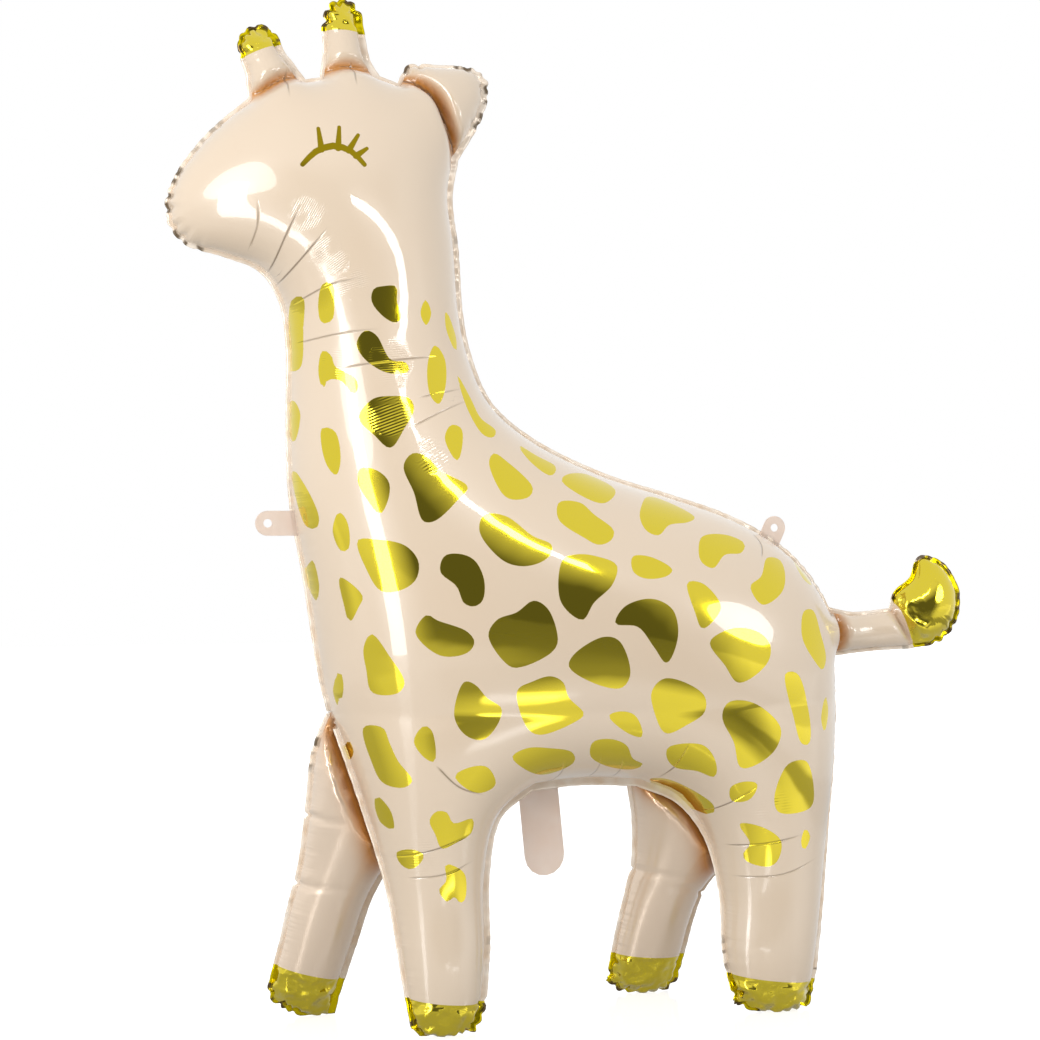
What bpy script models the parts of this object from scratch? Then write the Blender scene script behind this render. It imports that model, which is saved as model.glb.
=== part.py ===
"""Giraffe foil balloon, standing on four legs, head to -X and left flank to -Y.

The real thing is cut flat from foil, welded round its edge and filled with air. It is modelled the
same way. The edge of each flank is drawn as a flat outline, the outline is filled with a net of
triangles, and air pressure is worked out over that net as a soap film would carry it. The two filled
flanks are then welded into one sealed skin, and the soles are pressed flat by standing.
"""

import bmesh
import bpy
import numpy as np
from mathutils import Matrix, Vector
from mathutils.geometry import delaunay_2d_cdt

# Driving dimensions, in metres
HEIGHT = 1.02            # floor to the tip of the rear horn, with the flat weld border
DRAWN_HEIGHT = 1.02      # the height at which the outlines below are drawn
LEG_SPREAD = 0.112       # left foot to right foot, centre to centre
SPLIT_HEIGHT = 0.316     # where one weld divides into a left and a right leg weld
BODY_FULLNESS = 0.80     # 1 would blow a long tube up to a true circle
LEG_FULLNESS = 0.80      # the same for the legs, which blow up nearly round
SOLE_PRESS = 0.006       # how far the feet are pressed flat by the floor
SOLE_REACH = 0.12        # height over which a leg gives way to that press

NET_STEP = 0.010         # size of the triangles that fill an outline
SKIN_SHARE = 1 / 150     # cell of the welded skin, as a share of the height
SKIN_KEEP = 0.135        # share of the welded skin's triangles that the solid keeps

TAB_WIDTH = 0.024        # hanging tabs, left standing out of the weld border
TAB_REACH = 0.036
TAB_THICKNESS = 0.0016
TAB_HOLE = 0.009
CHEST_TAB_HEIGHT = 0.501
RUMP_TAB_HEIGHT = 0.486
RUMP_TAB_TURN = 1.15     # how far the rump tab leans up from level, in radians
TAB_ROOT = 0.012         # how deep a tab's root is buried in the edge

VALVE_WIDTH = 0.042      # flat filling valve under the belly
VALVE_LENGTH = 0.090
VALVE_THICKNESS = 0.0014
VALVE_PLACE = 0.379      # behind the nose
VALVE_LEAN = 0.10        # towards the rear legs, in radians
SEAT_GAP = 0.0003        # clearance between the valve and the skin that it hangs from

SCALE = HEIGHT / DRAWN_HEIGHT

# Outlines, in millimetres at the drawn height: back from the nose, and up from the floor.
# Each stretch is one smooth curve, and two stretches meet in a corner.
CHEST_AND_FACE = [
    (160, 314), (152, 346), (136, 445), (122, 524), (119, 600), (119, 677), (112, 719), (94, 747),
    (59, 761), (20, 772), (4, 791), (1, 812), (8, 834), (22, 857), (46, 886), (82, 918)]
FRONT_HORN = [(82, 918), (79, 942), (74, 957), (72, 977), (90, 992), (110, 984), (117, 968), (128, 954),
              (139, 940)]
BROW = [(139, 940), (153, 943)]
REAR_HORN = [(153, 943), (156, 970), (155, 997), (162, 1017), (177, 1023), (193, 1016), (198, 993),
             (204, 964), (214, 948)]
CROWN = [(214, 948), (232, 942)]
EAR = [(232, 942), (241, 960), (275, 963), (315, 961), (327, 948), (320, 912), (295, 868)]
NAPE_AND_BACK = [
    (295, 868), (289, 828), (295, 780), (300, 712), (309, 670), (330, 624), (372, 589), (447, 554),
    (520, 532), (583, 512), (630, 490), (664, 465), (690, 435), (704, 410)]
TAIL_TOP = [(704, 411), (730, 406), (774, 409)]
TAIL_TUFT = [(774, 409), (780, 427), (799, 443), (808, 465), (838, 459), (859, 426), (854, 391),
             (836, 372), (800, 365)]
TAIL_UNDERSIDE = [(800, 365), (750, 363), (709, 359)]
NEAR_REAR_LEG_BACK = [(709, 359), (711, 318), (706, 262), (692, 180), (678, 96), (665, 34)]
NEAR_REAR_SOLE = [(665, 34), (652, 5), (611, 0), (572, 14)]
NEAR_REAR_LEG_FRONT = [(572, 14), (563, 60), (563, 120), (550, 176), (523, 211), (480, 230)]
BELLY = [(480, 230), (420, 233), (368, 229)]
NEAR_FRONT_LEG_BACK = [(368, 229), (334, 203), (320, 150), (317, 80), (310, 26)]
NEAR_FRONT_SOLE = [(310, 26), (296, 4), (260, 0), (234, 8)]
NEAR_FRONT_LEG_FRONT = [(234, 8), (226, 55), (213, 140), (192, 215), (160, 314)]
FAR_REAR_LEG_BACK = [(709, 359), (711, 318), (700, 262), (672, 207), (625, 158), (580, 116), (568, 88),
                     (558, 45)]
FAR_REAR_SOLE = [(558, 45), (547, 9), (520, 0), (490, 5), (470, 20)]
FAR_REAR_LEG_FRONT = [(470, 20), (477, 70), (484, 108), (490, 142), (488, 190), (480, 230)]
FAR_FRONT_LEG_BACK = [(368, 229), (300, 216), (250, 176), (216, 125), (200, 76), (184, 26)]
FAR_FRONT_SOLE = [(184, 26), (175, 0), (150, 4), (124, 13), (107, 30)]
FAR_FRONT_LEG_FRONT = [(107, 30), (119, 80), (126, 115), (136, 160), (142, 225), (146, 275), (160, 314)]

UPPER_EDGE = [CHEST_AND_FACE, FRONT_HORN, BROW, REAR_HORN, CROWN, EAR, NAPE_AND_BACK, TAIL_TOP, TAIL_TUFT,
              TAIL_UNDERSIDE]
NEAR_LEGS = [NEAR_REAR_LEG_BACK, NEAR_REAR_SOLE, NEAR_REAR_LEG_FRONT, BELLY, NEAR_FRONT_LEG_BACK,
             NEAR_FRONT_SOLE, NEAR_FRONT_LEG_FRONT]
FAR_LEGS = [FAR_REAR_LEG_BACK, FAR_REAR_SOLE, FAR_REAR_LEG_FRONT, BELLY, FAR_FRONT_LEG_BACK,
            FAR_FRONT_SOLE, FAR_FRONT_LEG_FRONT]

# Folds where a small chamber is pinched off the head or the rump: their route, drawn like the outlines
EAR_FOLD = [(228, 944), (247, 941), (266, 926), (277, 903), (285, 884), (290, 862)]
FRONT_HORN_FOLD = [(76, 913), (94, 924), (115, 937), (142, 943)]
REAR_HORN_FOLD = [(150, 944), (175, 953), (216, 948)]
TAIL_FOLD = [(708, 416), (711, 386), (708, 356)]
TUFT_FOLD = [(774, 410), (786, 392), (806, 362)]
FOLD_DEPTH = 0.55        # share of the foil's lift that a fold takes away
FOLD_WIDTH = 0.009       # from the bottom of a fold to its shoulder

PEARL = (0.86, 0.74, 0.64, 1.0)
VALVE_FILM = (0.88, 0.72, 0.60, 1.0)


def clear_scene():
    """Remove what an earlier run or the start-up file left behind."""
    for old in list(bpy.data.objects):
        bpy.data.objects.remove(old, do_unlink=True)
    for old in list(bpy.data.collections):
        bpy.data.collections.remove(old)


def make_material(name, colour, roughness, metallic):
    """Plain surface for one piece."""
    material = bpy.data.materials.new(name)
    material.use_nodes = True
    shader = material.node_tree.nodes["Principled BSDF"]
    shader.inputs["Base Color"].default_value = colour
    shader.inputs["Roughness"].default_value = roughness
    shader.inputs["Metallic"].default_value = metallic
    material.diffuse_color = colour
    return material


def make_object(name, mesh, collection, material=None):
    """Put a mesh in a collection under a plain name."""
    piece = bpy.data.objects.new(name, mesh)
    collection.objects.link(piece)
    if material:
        mesh.materials.append(material)
    return piece


def make_cutter(piece):
    """Mark an object as a tool that only shapes other pieces."""
    piece.hide_render = True
    piece.display_type = "WIRE"
    return piece


def smooth_stretch(knots, step):
    """Points along a smooth curve through the knots, about one step apart, without the last one."""
    knots = np.array(knots, float)
    if len(knots) == 2:
        dense = np.linspace(knots[0], knots[1], 60)
    else:
        ends = np.vstack([2 * knots[0] - knots[1], knots, 2 * knots[-1] - knots[-2]])
        gaps = np.sqrt(np.linalg.norm(np.diff(ends, axis=0), axis=1))
        times = np.concatenate([[0.0], np.cumsum(gaps)])
        pieces = []
        for i in range(1, len(ends) - 2):
            t0, t1, t2, t3 = times[i - 1:i + 3]
            p0, p1, p2, p3 = ends[i - 1:i + 3]
            t = np.linspace(t1, t2, 40, endpoint=False)[:, None]
            a1 = (t1 - t) / (t1 - t0) * p0 + (t - t0) / (t1 - t0) * p1
            a2 = (t2 - t) / (t2 - t1) * p1 + (t - t1) / (t2 - t1) * p2
            a3 = (t3 - t) / (t3 - t2) * p2 + (t - t2) / (t3 - t2) * p3
            b1 = (t2 - t) / (t2 - t0) * a1 + (t - t0) / (t2 - t0) * a2
            b2 = (t3 - t) / (t3 - t1) * a2 + (t - t1) / (t3 - t1) * a3
            pieces.append((t2 - t) / (t2 - t1) * b1 + (t - t1) / (t2 - t1) * b2)
        dense = np.vstack(pieces + [knots[-1:]])
    run = np.concatenate([[0.0], np.cumsum(np.linalg.norm(np.diff(dense, axis=0), axis=1))])
    count = max(2, int(round(run[-1] / step)))
    places = np.linspace(0.0, run[-1], count, endpoint=False)
    return np.stack([np.interp(places, run, dense[:, k]) for k in range(2)], axis=1)


def outline_of(stretches):
    """The whole edge of one flank, in metres, as a closed ring of points."""
    unit = 0.001 * SCALE
    ring = [smooth_stretch(np.array(knots) * unit, NET_STEP * SCALE) for knots in stretches]
    ring = np.vstack(ring)
    ring[:, 1] -= SOLE_PRESS * np.clip(1 - ring[:, 1] / SOLE_REACH, 0, None)
    return ring


def inside_ring(points, ring):
    """Which points lie inside a closed ring."""
    inside = np.zeros(len(points), bool)
    for start, end in zip(ring, np.roll(ring, -1, axis=0)):
        crosses = (start[1] > points[:, 1]) != (end[1] > points[:, 1])
        rise = end[1] - start[1]
        if rise == 0:
            continue
        reach = start[0] + (points[:, 1] - start[1]) * (end[0] - start[0]) / rise
        inside ^= crosses & (points[:, 0] < reach)
    return inside


def fill_outline(ring):
    """A net of even triangles inside the ring: all points, with the ring's first, and the triangles."""
    step = NET_STEP * SCALE
    low, high = ring.min(axis=0), ring.max(axis=0)
    rows = np.arange(low[1], high[1], step * np.sqrt(3) / 2)
    columns = np.arange(low[0], high[0], step)
    lattice = np.array([(x + step / 2 * (k % 2), z) for k, z in enumerate(rows) for x in columns])
    lattice = lattice[inside_ring(lattice, ring)]
    nearest = np.min(np.linalg.norm(lattice[:, None] - ring[None], axis=2), axis=1)
    lattice = lattice[nearest > 0.6 * step]
    points = np.vstack([ring, lattice])
    loop = list(range(len(ring)))
    filled = delaunay_2d_cdt([Vector(p) for p in points], [], [loop], 1, 1e-7)
    net = np.array([tuple(p) for p in filled[0]])
    triangles = np.array([tuple(f) for f in filled[2]])
    return net, triangles, len(ring)


def air_height(net, triangles, edge_count):
    """How far pressure lifts each point of a flat net that is held round its edge.

    A soap film's rise u over the net solves one linear system. The square root of 2u is a true
    circle across a long tube and a flattened ball over a round disc, as foil balloons are.
    """
    corners = net[triangles]
    sides = corners[:, [2, 0, 1]] - corners[:, [1, 2, 0]]
    double_area = np.abs(np.cross(sides[:, 0], sides[:, 1]))
    pull = np.zeros(len(net))
    for k in range(3):
        np.add.at(pull, triangles[:, k], double_area / 6)
    first, second, weight = [], [], []
    for k in range(3):
        a, b = sides[:, (k + 1) % 3], sides[:, (k + 2) % 3]
        first.append(triangles[:, (k + 1) % 3])
        second.append(triangles[:, (k + 2) % 3])
        weight.append(-np.sum(a * b, axis=1) / double_area / 2)
    first, second, weight = (np.concatenate(part) for part in (first, second, weight))
    total = np.bincount(first, weight, len(net)) + np.bincount(second, weight, len(net))
    free = np.arange(len(net)) >= edge_count

    def stretch(u):
        spread = np.bincount(first, weight * u[second], len(net))
        spread += np.bincount(second, weight * u[first], len(net))
        return (total * u - spread) * free

    rise = np.zeros(len(net))
    left = pull * free
    direction = left / total
    size = left @ direction
    for _ in range(600):
        moved = stretch(direction)
        share = size / (direction @ moved)
        rise += share * direction
        left = left - share * moved
        scaled = left / total * free
        new_size = left @ scaled
        if new_size < 1e-18:
            break
        direction = scaled + new_size / size * direction
        size = new_size
    return np.sqrt(2 * np.maximum(rise, 0))


def blend(low, high, value):
    """Smooth change from 0 below low to 1 above high."""
    share = np.clip((value - low) / (high - low), 0, 1)
    return share * share * (3 - 2 * share)


def fold_share(net):
    """How much of its lift each point keeps beside the folds."""
    keep = np.ones(len(net))
    for fold in (EAR_FOLD, FRONT_HORN_FOLD, REAR_HORN_FOLD, TAIL_FOLD, TUFT_FOLD):
        route = smooth_stretch(np.array(fold) * 0.001 * SCALE, FOLD_WIDTH * SCALE / 4)
        gap = np.min(np.linalg.norm(net[:, None] - route[None], axis=2), axis=1)
        keep *= 1 - FOLD_DEPTH * np.exp(-(gap / (FOLD_WIDTH * SCALE)) ** 2)
    return keep


def filled_flank(name, stretches, side):
    """One flank blown up: its outer sheet, and an inner sheet that closes its legs."""
    ring = outline_of(stretches)
    net, triangles, edge_count = fill_outline(ring)
    height = air_height(net, triangles, edge_count)
    split = SPLIT_HEIGHT * SCALE
    up = blend(0.6 * split, 1.1 * split, net[:, 1])
    height *= LEG_FULLNESS + (BODY_FULLNESS - LEG_FULLNESS) * up
    height *= fold_share(net)
    weld_plane = side * LEG_SPREAD * SCALE / 2 * np.clip((split - net[:, 1]) / split, 0, None)
    inner_share = 1 - 0.5 * blend(0.8 * split, 1.05 * split, net[:, 1])
    outer = np.stack([net[:, 0], weld_plane + side * height, net[:, 1]], axis=1)
    inner = np.stack([net[:, 0], weld_plane - side * height * inner_share, net[:, 1]], axis=1)
    shell = bmesh.new()
    outer_points = [shell.verts.new(p) for p in outer]
    inner_points = outer_points[:edge_count] + [shell.verts.new(p) for p in inner[edge_count:]]
    for a, b, c in triangles:
        shell.faces.new((outer_points[a], outer_points[b], outer_points[c]))
        shell.faces.new((inner_points[c], inner_points[b], inner_points[a]))
    bmesh.ops.recalc_face_normals(shell, faces=shell.faces)
    mesh = bpy.data.meshes.new(name)
    shell.to_mesh(mesh)
    shell.free()
    return mesh


def middle_of_outline():
    """Half way between the nose and the tail, so that the model stands on its own centre."""
    ring = outline_of(UPPER_EDGE)
    return (ring[:, 0].min() + ring[:, 0].max()) / 2


def box_mesh(name, low, high):
    """A plain box between two corners."""
    shell = bmesh.new()
    bmesh.ops.create_cube(shell, size=1.0)
    low, high = Vector(low), Vector(high)
    for point in shell.verts:
        point.co = [low[k] + (point.co[k] + 0.5) * (high[k] - low[k]) for k in range(3)]
    mesh = bpy.data.meshes.new(name)
    shell.to_mesh(mesh)
    shell.free()
    return mesh


def rounded_tab(name, width, reach, root, thickness, hole, turn, place):
    """A flat strip with a round end, and a punched hole if it has one, reaching out along +X."""
    curve = bpy.data.curves.new(name, "CURVE")
    curve.dimensions = "2D"
    curve.fill_mode = "BOTH"
    curve.extrude = thickness / 2
    radius = width / 2
    arc = np.linspace(-np.pi / 2, np.pi / 2, 9)
    edge = [(-root, -radius), *[(reach - radius + radius * np.cos(a), radius * np.sin(a)) for a in arc],
            (-root, radius)]
    rings = [edge]
    if hole:
        around = np.linspace(0, 2 * np.pi, 12, endpoint=False)
        rings.append([(reach - radius + hole / 2 * np.cos(a), hole / 2 * np.sin(a)) for a in around])
    for ring in rings:
        spline = curve.splines.new("POLY")
        spline.points.add(len(ring) - 1)
        for point, (x, y) in zip(spline.points, ring):
            point.co = (x, y, 0, 1)
        spline.use_cyclic_u = True
    guide = bpy.data.objects.new(name, curve)
    bpy.context.scene.collection.objects.link(guide)
    guide.rotation_euler = (np.pi / 2, -turn, 0)
    guide.location = place
    bpy.context.view_layer.update()
    mesh = bpy.data.meshes.new_from_object(guide.evaluated_get(bpy.context.evaluated_depsgraph_get()))
    mesh.transform(guide.matrix_world)
    bpy.data.objects.remove(guide, do_unlink=True)
    shell = bmesh.new()
    shell.from_mesh(mesh)
    bmesh.ops.remove_doubles(shell, verts=shell.verts, dist=1e-5)
    bmesh.ops.recalc_face_normals(shell, faces=shell.faces)
    shell.to_mesh(mesh)
    shell.free()
    return mesh


def edge_place(height, front):
    """Where the front or the back edge of the outline passes a height, behind the nose."""
    ring = smooth_stretch(np.array(CHEST_AND_FACE if front else NAPE_AND_BACK) * 0.001 * SCALE,
                          NET_STEP * SCALE / 4)
    return ring[np.argmin(np.abs(ring[:, 1] - height)), 0]


def make_envelope(collection, tools):
    """The sealed foil skin, with its two hanging tabs, standing on flat soles."""
    near = filled_flank("near_flank", UPPER_EDGE + NEAR_LEGS, -1)
    far = filled_flank("far_flank", UPPER_EDGE + FAR_LEGS, 1)
    shell = bmesh.new()
    shell.from_mesh(near)
    shell.from_mesh(far)
    mesh = bpy.data.meshes.new("foil_envelope")
    shell.to_mesh(mesh)
    shell.free()
    middle = middle_of_outline()
    mesh.transform(Matrix.Translation((-middle, 0, 0)))
    pearl = make_material("pearl_foil", PEARL, 0.22, 0.55)
    envelope = make_object("foil_envelope", mesh, collection, pearl)

    weld = envelope.modifiers.new("weld_flanks", "REMESH")
    weld.mode = "VOXEL"
    weld.voxel_size = HEIGHT * SKIN_SHARE
    weld.use_smooth_shade = True
    ease = envelope.modifiers.new("ease_skin", "SMOOTH")
    ease.factor = 0.5
    ease.iterations = 2
    thin = envelope.modifiers.new("thin_net", "DECIMATE")
    thin.ratio = SKIN_KEEP

    chest = rounded_tab("chest_tab", TAB_WIDTH, TAB_REACH, TAB_ROOT, TAB_THICKNESS, TAB_HOLE, np.pi,
                        (edge_place(CHEST_TAB_HEIGHT, True) - middle, 0, CHEST_TAB_HEIGHT))
    rump = rounded_tab("rump_tab", TAB_WIDTH, TAB_REACH, TAB_ROOT, TAB_THICKNESS, TAB_HOLE, RUMP_TAB_TURN,
                       (edge_place(RUMP_TAB_HEIGHT, False) - middle, 0, RUMP_TAB_HEIGHT))
    for tab in (chest, rump):
        join = envelope.modifiers.new(f"join_{tab.name}", "BOOLEAN")
        join.operation = "UNION"
        join.solver = "EXACT"
        join.object = make_cutter(make_object(tab.name, tab, tools))

    floor = box_mesh("floor_block", (-HEIGHT, -HEIGHT, -HEIGHT / 4), (HEIGHT, HEIGHT, 0))
    press = envelope.modifiers.new("press_soles", "BOOLEAN")
    press.operation = "DIFFERENCE"
    press.solver = "EXACT"
    press.object = make_cutter(make_object("floor_block", floor, tools))
    return envelope


def make_valve(envelope, collection, tools):
    """The flat filling valve, hanging out of the weld under the belly."""
    belly = smooth_stretch(np.array(BELLY) * 0.001 * SCALE, NET_STEP * SCALE / 4)
    middle = middle_of_outline()
    drop = belly[np.argmin(np.abs(belly[:, 0] - VALVE_PLACE * SCALE)), 1]
    turn = -np.pi / 2 + VALVE_LEAN
    strip = rounded_tab("valve_tail", VALVE_WIDTH, VALVE_LENGTH, TAB_ROOT, VALVE_THICKNESS, 0, turn,
                        (VALVE_PLACE * SCALE - middle, 0, drop))
    film = make_material("valve_film", VALVE_FILM, 0.35, 0.1)
    valve = make_object("valve_tail", strip, collection, film)
    bpy.context.view_layer.update()
    skin = bpy.data.meshes.new_from_object(envelope.evaluated_get(bpy.context.evaluated_depsgraph_get()))
    skin.materials.clear()
    seat = make_cutter(make_object("skin_copy", skin, tools))
    swell = seat.modifiers.new("clearance", "DISPLACE")
    swell.strength = SEAT_GAP
    swell.mid_level = 0.0
    trim = valve.modifiers.new("trim_to_belly", "BOOLEAN")
    trim.operation = "DIFFERENCE"
    trim.solver = "EXACT"
    trim.object = seat
    return valve


def build():
    """Make every piece of the balloon."""
    clear_scene()
    collection = bpy.data.collections.new("giraffe_foil_balloon")
    tools = bpy.data.collections.new("cutters")
    bpy.context.scene.collection.children.link(collection)
    bpy.context.scene.collection.children.link(tools)
    envelope = make_envelope(collection, tools)
    make_valve(envelope, collection, tools)


build()
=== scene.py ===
# %% [markdown]
# # Giraffe foil balloon, dressed
#
# The real thing is two printed sheets of foil, cut flat, welded round the edge and blown up.

import bmesh
import bpy
import numpy as np
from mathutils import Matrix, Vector
from mathutils.geometry import delaunay_2d_cdt
from mathutils.kdtree import KDTree


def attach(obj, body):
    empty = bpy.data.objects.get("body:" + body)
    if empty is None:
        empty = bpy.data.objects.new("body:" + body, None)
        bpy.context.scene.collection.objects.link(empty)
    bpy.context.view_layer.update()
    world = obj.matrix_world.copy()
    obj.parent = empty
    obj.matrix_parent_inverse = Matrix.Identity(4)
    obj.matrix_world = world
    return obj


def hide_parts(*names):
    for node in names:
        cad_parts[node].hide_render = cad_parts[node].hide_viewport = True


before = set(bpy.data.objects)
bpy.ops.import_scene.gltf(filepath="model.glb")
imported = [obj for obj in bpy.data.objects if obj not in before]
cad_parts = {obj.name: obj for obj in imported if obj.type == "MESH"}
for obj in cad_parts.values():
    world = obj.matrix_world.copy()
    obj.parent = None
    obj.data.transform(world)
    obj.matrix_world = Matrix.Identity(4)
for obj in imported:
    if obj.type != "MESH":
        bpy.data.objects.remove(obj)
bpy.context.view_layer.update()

# %% [markdown]
# ## Sizes
#
# These are the driving sizes of `part.py`, said once more so that the foil lies on the CAD model. Lengths are
# in metres.

# %% Sizes shared with the CAD model
HEIGHT = 1.02            # floor to the tip of the rear horn, with the flat weld border
DRAWN_HEIGHT = 1.02      # the height at which the outlines below are drawn
LEG_SPREAD = 0.112       # left foot to right foot, centre to centre
SPLIT_HEIGHT = 0.316     # where one weld divides into a left and a right leg weld
FULLNESS = 0.80          # 1 would blow a long tube up to a true circle
SOLE_PRESS = 0.006       # how far the feet are pressed flat by the floor
SOLE_REACH = 0.12        # height over which a leg gives way to that press
TAB_WIDTH = 0.024
TAB_REACH = 0.036
TAB_THICKNESS = 0.0016
TAB_HOLE = 0.009
CHEST_TAB_HEIGHT = 0.501
RUMP_TAB_HEIGHT = 0.486
RUMP_TAB_TURN = 1.15
TAB_ROOT = 0.012

SCALE = HEIGHT / DRAWN_HEIGHT
MM = 0.001 * SCALE
print("one drawn millimetre is %.6f m" % MM)

# %% [markdown]
# The CAD model leaves out what is thinner than a solid can be: the flat welded border, its crimps, and the
# puckers that air pulls into the foil beside the weld. Their sizes are judged from the enlarged photograph.

# %% Sizes of the border, the net and the puckers
BORDER_WIDTH = 0.0042    # flat welded strip outside the air
REAR_EXTRA = 0.0036      # how much wider the strip is where the outline faces the tail
BELLY_EXTRA = 0.0050     # and where it faces down under the belly
BORDER_ROOT = 0.0012     # how far the strip reaches into the skin
BORDER_THICKNESS = 0.0005
NET_STEP = 0.0044        # triangles of the fine net
EDGE_ROWS = (0.0003, 0.0011, 0.0024, 0.0042)   # extra rows beside the weld, where the foil turns fast
PUCKER_LENGTH = 0.0122   # from one pucker to the next along the weld
PUCKER_DEPTH = 0.0034    # at a strongly curved edge
SCALLOP_DEPTH = 0.0024   # how far a deep pucker pulls the outline in
PUCKER_REACH = 0.013     # how far a pucker runs into the foil
print("widest border %.1f mm" % (1000 * (BORDER_WIDTH + max(REAR_EXTRA, BELLY_EXTRA))))

# %% [markdown]
# ## Outlines
#
# These are the outlines of `part.py`, in millimetres back from the nose and up from the floor. Each stretch
# is one smooth curve, and two stretches meet in a corner. Both flanks share the upper edge.

# %% Upper edge
CHEST_AND_FACE = [
    (160, 314), (152, 346), (136, 445), (122, 524), (119, 600), (119, 677), (112, 719), (94, 747),
    (59, 761), (20, 772), (4, 791), (1, 812), (8, 834), (22, 857), (46, 886), (82, 918)]
FRONT_HORN = [(82, 918), (79, 942), (74, 957), (72, 977), (90, 992), (110, 984), (117, 968), (128, 954),
              (139, 940)]
BROW = [(139, 940), (153, 943)]
REAR_HORN = [(153, 943), (156, 970), (155, 997), (162, 1017), (177, 1023), (193, 1016), (198, 993),
             (204, 964), (214, 948)]
CROWN = [(214, 948), (232, 942)]
EAR = [(232, 942), (241, 960), (275, 963), (315, 961), (327, 948), (320, 912), (295, 868)]
NAPE_AND_BACK = [
    (295, 868), (289, 828), (295, 780), (300, 712), (309, 670), (330, 624), (372, 589), (447, 554),
    (520, 532), (583, 512), (630, 490), (664, 465), (690, 435), (704, 410)]
TAIL_TOP = [(704, 411), (730, 406), (774, 409)]
TAIL_TUFT = [(774, 409), (780, 427), (799, 443), (808, 465), (838, 459), (859, 426), (854, 391),
             (836, 372), (800, 365)]
TAIL_UNDERSIDE = [(800, 365), (750, 363), (709, 359)]
UPPER_EDGE = [CHEST_AND_FACE, FRONT_HORN, BROW, REAR_HORN, CROWN, EAR, NAPE_AND_BACK, TAIL_TOP, TAIL_TUFT,
              TAIL_UNDERSIDE]
print("stretches of the upper edge:", len(UPPER_EDGE))

# %% [markdown]
# The balloon walks, so the far legs are cut further forward than the near ones. The belly is the same.

# %% Legs
NEAR_REAR_LEG_BACK = [(709, 359), (711, 318), (706, 262), (692, 180), (678, 96), (665, 34)]
NEAR_REAR_SOLE = [(665, 34), (652, 5), (611, 0), (572, 14)]
NEAR_REAR_LEG_FRONT = [(572, 14), (563, 60), (563, 120), (550, 176), (523, 211), (480, 230)]
BELLY = [(480, 230), (420, 233), (368, 229)]
NEAR_FRONT_LEG_BACK = [(368, 229), (334, 203), (320, 150), (317, 80), (310, 26)]
NEAR_FRONT_SOLE = [(310, 26), (296, 4), (260, 0), (234, 8)]
NEAR_FRONT_LEG_FRONT = [(234, 8), (226, 55), (213, 140), (192, 215), (160, 314)]
FAR_REAR_LEG_BACK = [(709, 359), (711, 318), (700, 262), (672, 207), (625, 158), (580, 116), (568, 88),
                     (558, 45)]
FAR_REAR_SOLE = [(558, 45), (547, 9), (520, 0), (490, 5), (470, 20)]
FAR_REAR_LEG_FRONT = [(470, 20), (477, 70), (484, 108), (490, 142), (488, 190), (480, 230)]
FAR_FRONT_LEG_BACK = [(368, 229), (300, 216), (250, 176), (216, 125), (200, 76), (184, 26)]
FAR_FRONT_SOLE = [(184, 26), (175, 0), (150, 4), (124, 13), (107, 30)]
FAR_FRONT_LEG_FRONT = [(107, 30), (119, 80), (126, 115), (136, 160), (142, 225), (146, 275), (160, 314)]
NEAR_LEGS = [NEAR_REAR_LEG_BACK, NEAR_REAR_SOLE, NEAR_REAR_LEG_FRONT, BELLY, NEAR_FRONT_LEG_BACK,
             NEAR_FRONT_SOLE, NEAR_FRONT_LEG_FRONT]
FAR_LEGS = [FAR_REAR_LEG_BACK, FAR_REAR_SOLE, FAR_REAR_LEG_FRONT, BELLY, FAR_FRONT_LEG_BACK,
            FAR_FRONT_SOLE, FAR_FRONT_LEG_FRONT]
print("stretches of the legs:", len(NEAR_LEGS), "near,", len(FAR_LEGS), "far")

# %% [markdown]
# A fold pinches a small chamber off the head or the rump. Its route is drawn like the outlines.

# %% Routes of the folds
EAR_FOLD = [(228, 944), (247, 941), (266, 926), (277, 903), (285, 884), (290, 862)]
FRONT_HORN_FOLD = [(76, 913), (94, 924), (115, 937), (142, 943)]
REAR_HORN_FOLD = [(150, 944), (175, 953), (216, 948)]
TAIL_FOLD = [(708, 416), (711, 386), (708, 356)]
TUFT_FOLD = [(774, 410), (786, 392), (806, 362)]
FOLDS = (EAR_FOLD, FRONT_HORN_FOLD, REAR_HORN_FOLD, TAIL_FOLD, TUFT_FOLD)
print("folds:", len(FOLDS))

# %% [markdown]
# ## Curves
#
# A stretch becomes a smooth curve through its knots. A Bezier curve would do too, but it needs handles. This
# kind of spline takes its bends from the knots alone and doesn't overshoot where they stand close together.

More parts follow.
